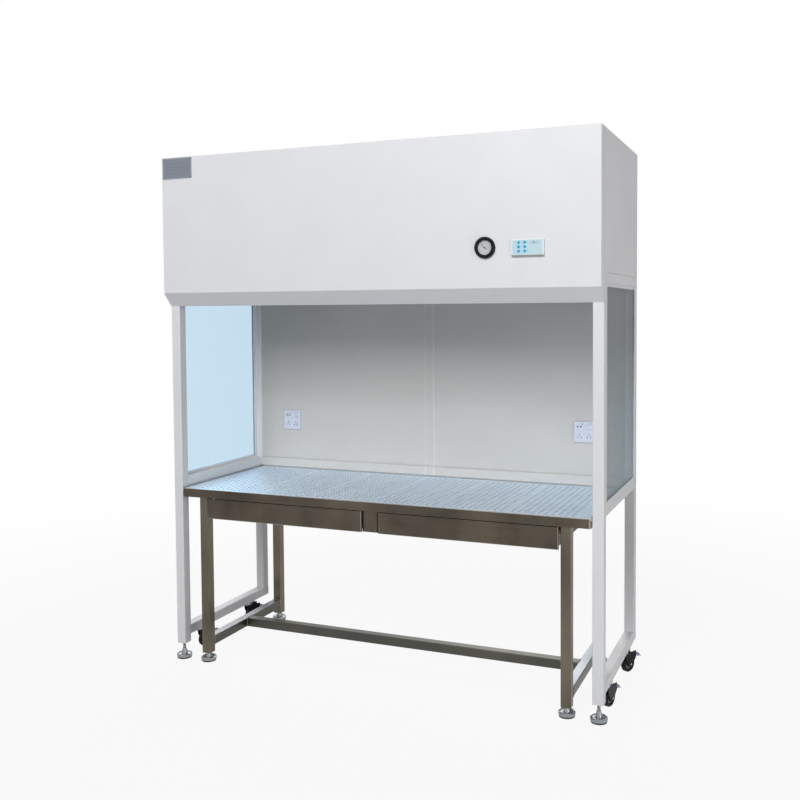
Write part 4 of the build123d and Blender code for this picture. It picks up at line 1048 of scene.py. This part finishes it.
nuts = [hexNut((side * nut["x"], nut["y"], nut["under"] - nut["thick"])) for side in (-1, 1)]
newPiece("footLockNuts", *joined(nuts), "root", "zinc", finishes["bright"])
print("nuts made")


# how far each caster is swivelled
casterTurn = {"front_left": 28.0, "front_right": 16.0, "rear_left": 26.0, "rear_right": 26.0}


def axlePair(shape, corner):
    # the same shape at both ends of a caster's axle
    centre = [(a + b) / 2 for a, b in zip(*faceRange("caster_wheel_" + corner))]
    turn = math.radians(casterTurn[corner])
    axle = np.array([math.cos(turn), -math.sin(turn), 0.0])
    return joined([shape(centre, tuple(axle)), shape(centre, tuple(-axle))])


# wheel discs in the dished sides of each caster wheel
wheelDisc = {"outer": 0.0215, "inner": 0.0042, "web": 0.0061, "rise": 0.0026, "lobes": 5, "dip": 0.0014}


def discShape(centre, axis):
    # spoked disc: height = web + rise (1 - s^2) - dip (0.5 + 0.5 cos(lobes t))^2 sin(pi s)^2, s from hub to rim
    s, steps = np.linspace(1.0, 0.0, 9), 60
    r, t = np.meshgrid(s, np.arange(steps) * tau / steps, indexing="ij")
    radius = wheelDisc["inner"] + (wheelDisc["outer"] - wheelDisc["inner"]) * r
    crown = wheelDisc["rise"] * (1 - r ** 2)
    pocket = wheelDisc["dip"] * (0.5 + 0.5 * np.cos(wheelDisc["lobes"] * t)) ** 2 * np.sin(np.pi * r) ** 2
    height = wheelDisc["web"] + crown - pocket
    points = np.stack([radius * np.cos(t), radius * np.sin(t), height], -1).reshape(-1, 3)
    return aimed(points, axis, centre), cappedFaces(len(s), steps)


finishes["disc"] = makePlastic("wheelDisc", (96, 98, 104), (0.3, 0.42))
for corner in casterTurn:
    sides = axlePair(discShape, corner)
    newPiece("wheelDiscs_" + corner, *sides, "caster_wheel_" + corner, "wheel_rubber", finishes["disc"], smooth=True)
print("wheel discs made")


# soft pads on the brake pedals
pedalPad = {
    "half": (0.0128, 0.0125, 0.0068), "middle": (0.0, 0.0290, 0.0080), "power": 0.6,
    "pivot": (0.052, 0.066), "slope": 27.0, "swivel": {"front": -0.163, "rear": 0.191}, "axis": 0.88,
}


def padShape(corner):
    # rounded cushion: each half size times a signed power of cos and sin of two angles, then tilted and turned
    rings, steps = 13, 28
    u, v = np.meshgrid(np.linspace(-math.pi / 2, math.pi / 2, rings), np.arange(steps) * tau / steps, indexing="ij")

    def curve(value):
        return np.sign(value) * abs(value) ** pedalPad["power"]

    a, b, c = pedalPad["half"]
    ring = curve(np.cos(u))
    points = np.stack([a * ring * curve(np.cos(v)), b * ring * curve(np.sin(v)), c * curve(np.sin(u))], -1)
    points = points[1:-1].reshape(-1, 3) + pedalPad["middle"]
    row, side = corner.split("_")
    tilt = np.array(Matrix.Rotation(math.radians(-pedalPad["slope"]), 3, "X"))
    turn = np.array(Matrix.Rotation(math.radians(-casterTurn[corner]), 3, "Z"))
    points = (points @ tilt.T + (0.0, *pedalPad["pivot"])) @ turn.T
    sign = -1 if side == "left" else 1
    return points + (sign * pedalPad["axis"], pedalPad["swivel"][row], 0.0), cappedFaces(rings - 2, steps)


finishes["pad"] = makePlastic("pedalPad", (142, 136, 176), (0.3, 0.45))
for corner in casterTurn:
    pad, brake = padShape(corner), "caster_brake_" + corner
    newPiece("pedalPad_" + corner, *pad, brake, "caster_chrome", finishes["pad"], smooth=True)


# axle nuts on the casters' forks
axleNut = {"out": 0.0162, "radius": 0.0052, "thick": 0.0036}


def nutShape(centre, axis):
    # six-sided head with a stepped middle: the profile runs from the rim inwards
    profile = [(1.0, 0.0), (1.0, 0.75), (0.9, 1.0), (0.45, 1.0), (0.4, 1.25), (0.25, 1.4)]
    profile = np.array(profile) * (axleNut["radius"], axleNut["thick"] / 1.4)
    points, faces = turnedShape(profile, 6)
    points[:, 2] += axleNut["out"]
    return aimed(points, axis, centre), faces


for corner in casterTurn:
    heads = axlePair(nutShape, corner)
    newPiece("axleNuts_" + corner, *heads, "caster_fork_" + corner, "caster_chrome", finishes["foot"])


# weld beads where the rails of the bench frame meet
weld = {
    "radius": 0.0019, "ripple": 0.16, "pitch": 0.0022, "low": 0.062, "high": 0.100,
    "inner": 0.744, "outer": 0.782, "rails": (-0.249, 0.260), "stretcher": (-0.0135, 0.0245),
}


def makeWeldFinish():
    # bright bead with straw and blue heat colours that drift along it
    f = Finish("weldSteel")
    heat = f.noise(90.0, 3.0, 0.6)
    grain = f.noise(600.0, 2.0, 0.5)
    tint = f.ramp(heat, [(0.3, tone(96, 92, 86)), (0.5, tone(132, 116, 92)), (0.7, tone(104, 108, 122))])
    return f.principled({"Base Color": tint, "Metallic": 1.0, "Roughness": 0.3 + 0.25 * grain})


def weldBead(start, end):
    # a rippled tube: radius = r0 * (1 + ripple * cos(2 pi s / pitch)) along the line, closed at both ends
    start, end = np.array(start, dtype=float), np.array(end, dtype=float)
    length = np.linalg.norm(end - start)
    rings, steps = int(length / weld["pitch"]) * 4 + 1, 8
    s = np.linspace(0, length, rings)
    ends = np.sqrt(np.clip(np.minimum(s, length - s) / weld["radius"], 0.05, 1.0))
    radius = weld["radius"] * (1 + weld["ripple"] * np.cos(tau * s / weld["pitch"])) * ends
    points, faces = turnedShape(np.stack([radius, s], -1), steps)
    return aimed(points, tuple((end - start) / length), start), faces


def jointBeads():
    # beads across and up each joint of a side rail with a leg, and of the stretcher with a side rail
    low, high, inner, outer = (weld[k] for k in ("low", "high", "inner", "outer"))
    near, far = weld["stretcher"]
    beads = []
    for side in (-1, 1):
        for y in weld["rails"]:
            beads.append(weldBead((side * inner, y, high), (side * outer, y, high)))
            beads += [weldBead((side * x, y, low), (side * x, y, high)) for x in (inner, outer)]
        beads.append(weldBead((side * inner, near, high), (side * inner, far, high)))
        beads += [weldBead((side * inner, y, low), (side * inner, y, high)) for y in weld["stretcher"]]
    return joined(beads)


newPiece("weldBeads", *jointBeads(), "root", "stainless", makeWeldFinish(), smooth=True)
dividerScrews = [(x, screwPlaces["dividerY"], z) for x in screwPlaces["dividerX"] for z in screwPlaces["dividerZ"]]
newPiece("dividerScrews", *screwRow(dividerScrews, (0, -1, 0), 0.9), "root", "zinc", finishes["bright"])
print("nuts and welds made")


# light, floor and camera
studio = {
    "worldLight": 0.18,
    "floorWhite": 0.92,            # how far the floor is lifted to white beside the object
    "floorTone": (tone(172, 172, 172), tone(166, 166, 167)),
    "floorReach": 9.0,
    "lens": 41.573,
    "shift": (-0.0644, -0.0572),
    "cameraAt": (1.5603, -3.4314, 1.4357),
    "azimuth": 21.279,
    "down": 2.515,
    "roll": -0.293,
    "fade": (1.6, 2.5),            # the floor starts to fade here, and over this length
}
# each lamp: where it is, what it points at, its size in metres and its power in watts
studioLamps = {
    "keyLamp": ((-0.3, -6.0, 4.3), (0, 0, 1.1), (2.6, 2.8), 205),
    "upperLamp": ((-0.3, -4.6, 5.2), (0, 0, 1.1), (2.4, 1.8), 62),
    "fillLamp": ((4.2, -3.0, 2.4), (0.2, 0, 1.0), (2.0, 2.0), 30),
    "leftLamp": ((-3.9, 2.6, 1.9), (-0.9, 0.1, 1.1), (2.0, 2.0), 34),
    "lowLamp": ((3.6, -1.6, 0.35), (0.9, 0.0, 0.3), (1.2, 0.5), 20),
    "backLamp": ((-0.7, 4.6, 4.4), (0, 0.3, 1.1), (2.6, 2.0), 150),
}


def makeWorld():
    # a plain grey dome lights the object; camera, gloss and glass see it white
    world = bpy.data.worlds.new("studioWorld")
    bpy.context.scene.world = world
    f = Finish("studioWorld", world)
    path = f.add("ShaderNodeLightPath", {}, {})
    seen = path.out("Is Camera Ray")
    for ray in ("Is Glossy Ray", "Is Transmission Ray"):
        seen = seen.maths("MAXIMUM", seen, path.out(ray))
    soft, white = (
        f.add("ShaderNodeBackground", {}, {"Color": (1.0, 1.0, 1.0, 1.0), "Strength": strength}).out(0)
        for strength in (studio["worldLight"], 1.0)
    )
    mix = f.add("ShaderNodeMixShader", {}, {0: seen, 1: soft, 2: white}).out(0)
    f.add("ShaderNodeOutputWorld", {}, {"Surface": mix})


def makeFloor():
    # a flat floor; it fades to plain white away from the object, and keeps the shadow near it
    f = Finish("floorPale")
    x, y, z = f.axes()
    distance = (x * x + y * y).root()
    near, length = studio["fade"]
    fade = studio["floorWhite"] + (1 - studio["floorWhite"]) * ((distance - near) / length).clipped()
    speck = f.noise(40.0, 2.0, 0.5)
    lit = f.add(
        "ShaderNodeBsdfPrincipled", {},
        {"Base Color": f.blend(speck, *studio["floorTone"]), "Roughness": 0.9, "Specular IOR Level": 0.0},
    ).out(0)
    white = f.add("ShaderNodeEmission", {}, {"Color": (1, 1, 1, 1), "Strength": 1.0}).out(0)
    path = f.add("ShaderNodeLightPath", {}, {})
    seen = (path.out("Is Camera Ray") + path.out("Is Transmission Ray") + path.out("Is Glossy Ray")).clipped()
    material = f.surface(f.add("ShaderNodeMixShader", {}, {0: fade * seen, 1: lit, 2: white}).out(0))
    # a square grid, x and y both from -reach to +reach, at height 0
    reach = np.linspace(-studio["floorReach"], studio["floorReach"], 9)
    points = np.stack([*np.meshgrid(reach, reach, indexing="xy"), np.zeros((9, 9))], -1).reshape(-1, 3)
    mesh = bpy.data.meshes.new("floor")
    mesh.from_pydata(points.tolist(), [], gridFaces(9, 9))
    floor = bpy.data.objects.new("floor", mesh)
    bpy.context.collection.objects.link(floor)
    mesh.materials.append(material)


def addLamp(name, place, target, size, power):
    data = bpy.data.lights.new(name, "AREA")
    data.shape = "RECTANGLE"
    data.size, data.size_y = size
    data.energy = power
    lamp = bpy.data.objects.new(name, data)
    bpy.context.collection.objects.link(lamp)
    lamp.location = place
    lamp.rotation_euler = (Vector(target) - Vector(place)).to_track_quat("-Z", "Y").to_euler()


def addCamera():
    # X axis to the right, Y axis up and -Z along the view, turned by azimuth, tilt and roll
    azimuth, down, roll = (math.radians(studio[k]) for k in ("azimuth", "down", "roll"))
    forward = Vector((-math.sin(azimuth) * math.cos(down), math.cos(azimuth) * math.cos(down), -math.sin(down)))
    right = Vector((math.cos(azimuth), math.sin(azimuth), 0))
    up = right.cross(forward)
    axisX = right * math.cos(roll) + up * math.sin(roll)
    axisY = up * math.cos(roll) - right * math.sin(roll)
    data = bpy.data.cameras.new("studioCamera")
    data.sensor_width = 36.0
    data.lens = studio["lens"]
    data.shift_x, data.shift_y = studio["shift"]
    camera = bpy.data.objects.new("studioCamera", data)
    bpy.context.collection.objects.link(camera)
    turn = Matrix((axisX, axisY, -forward)).transposed().to_4x4()
    camera.matrix_world = Matrix.Translation(studio["cameraAt"]) @ turn
    bpy.context.scene.camera = camera


makeWorld()
makeFloor()
for name, values in studioLamps.items():
    addLamp(name, *values)
addCamera()
bpy.context.scene.view_settings.view_transform = "Standard"
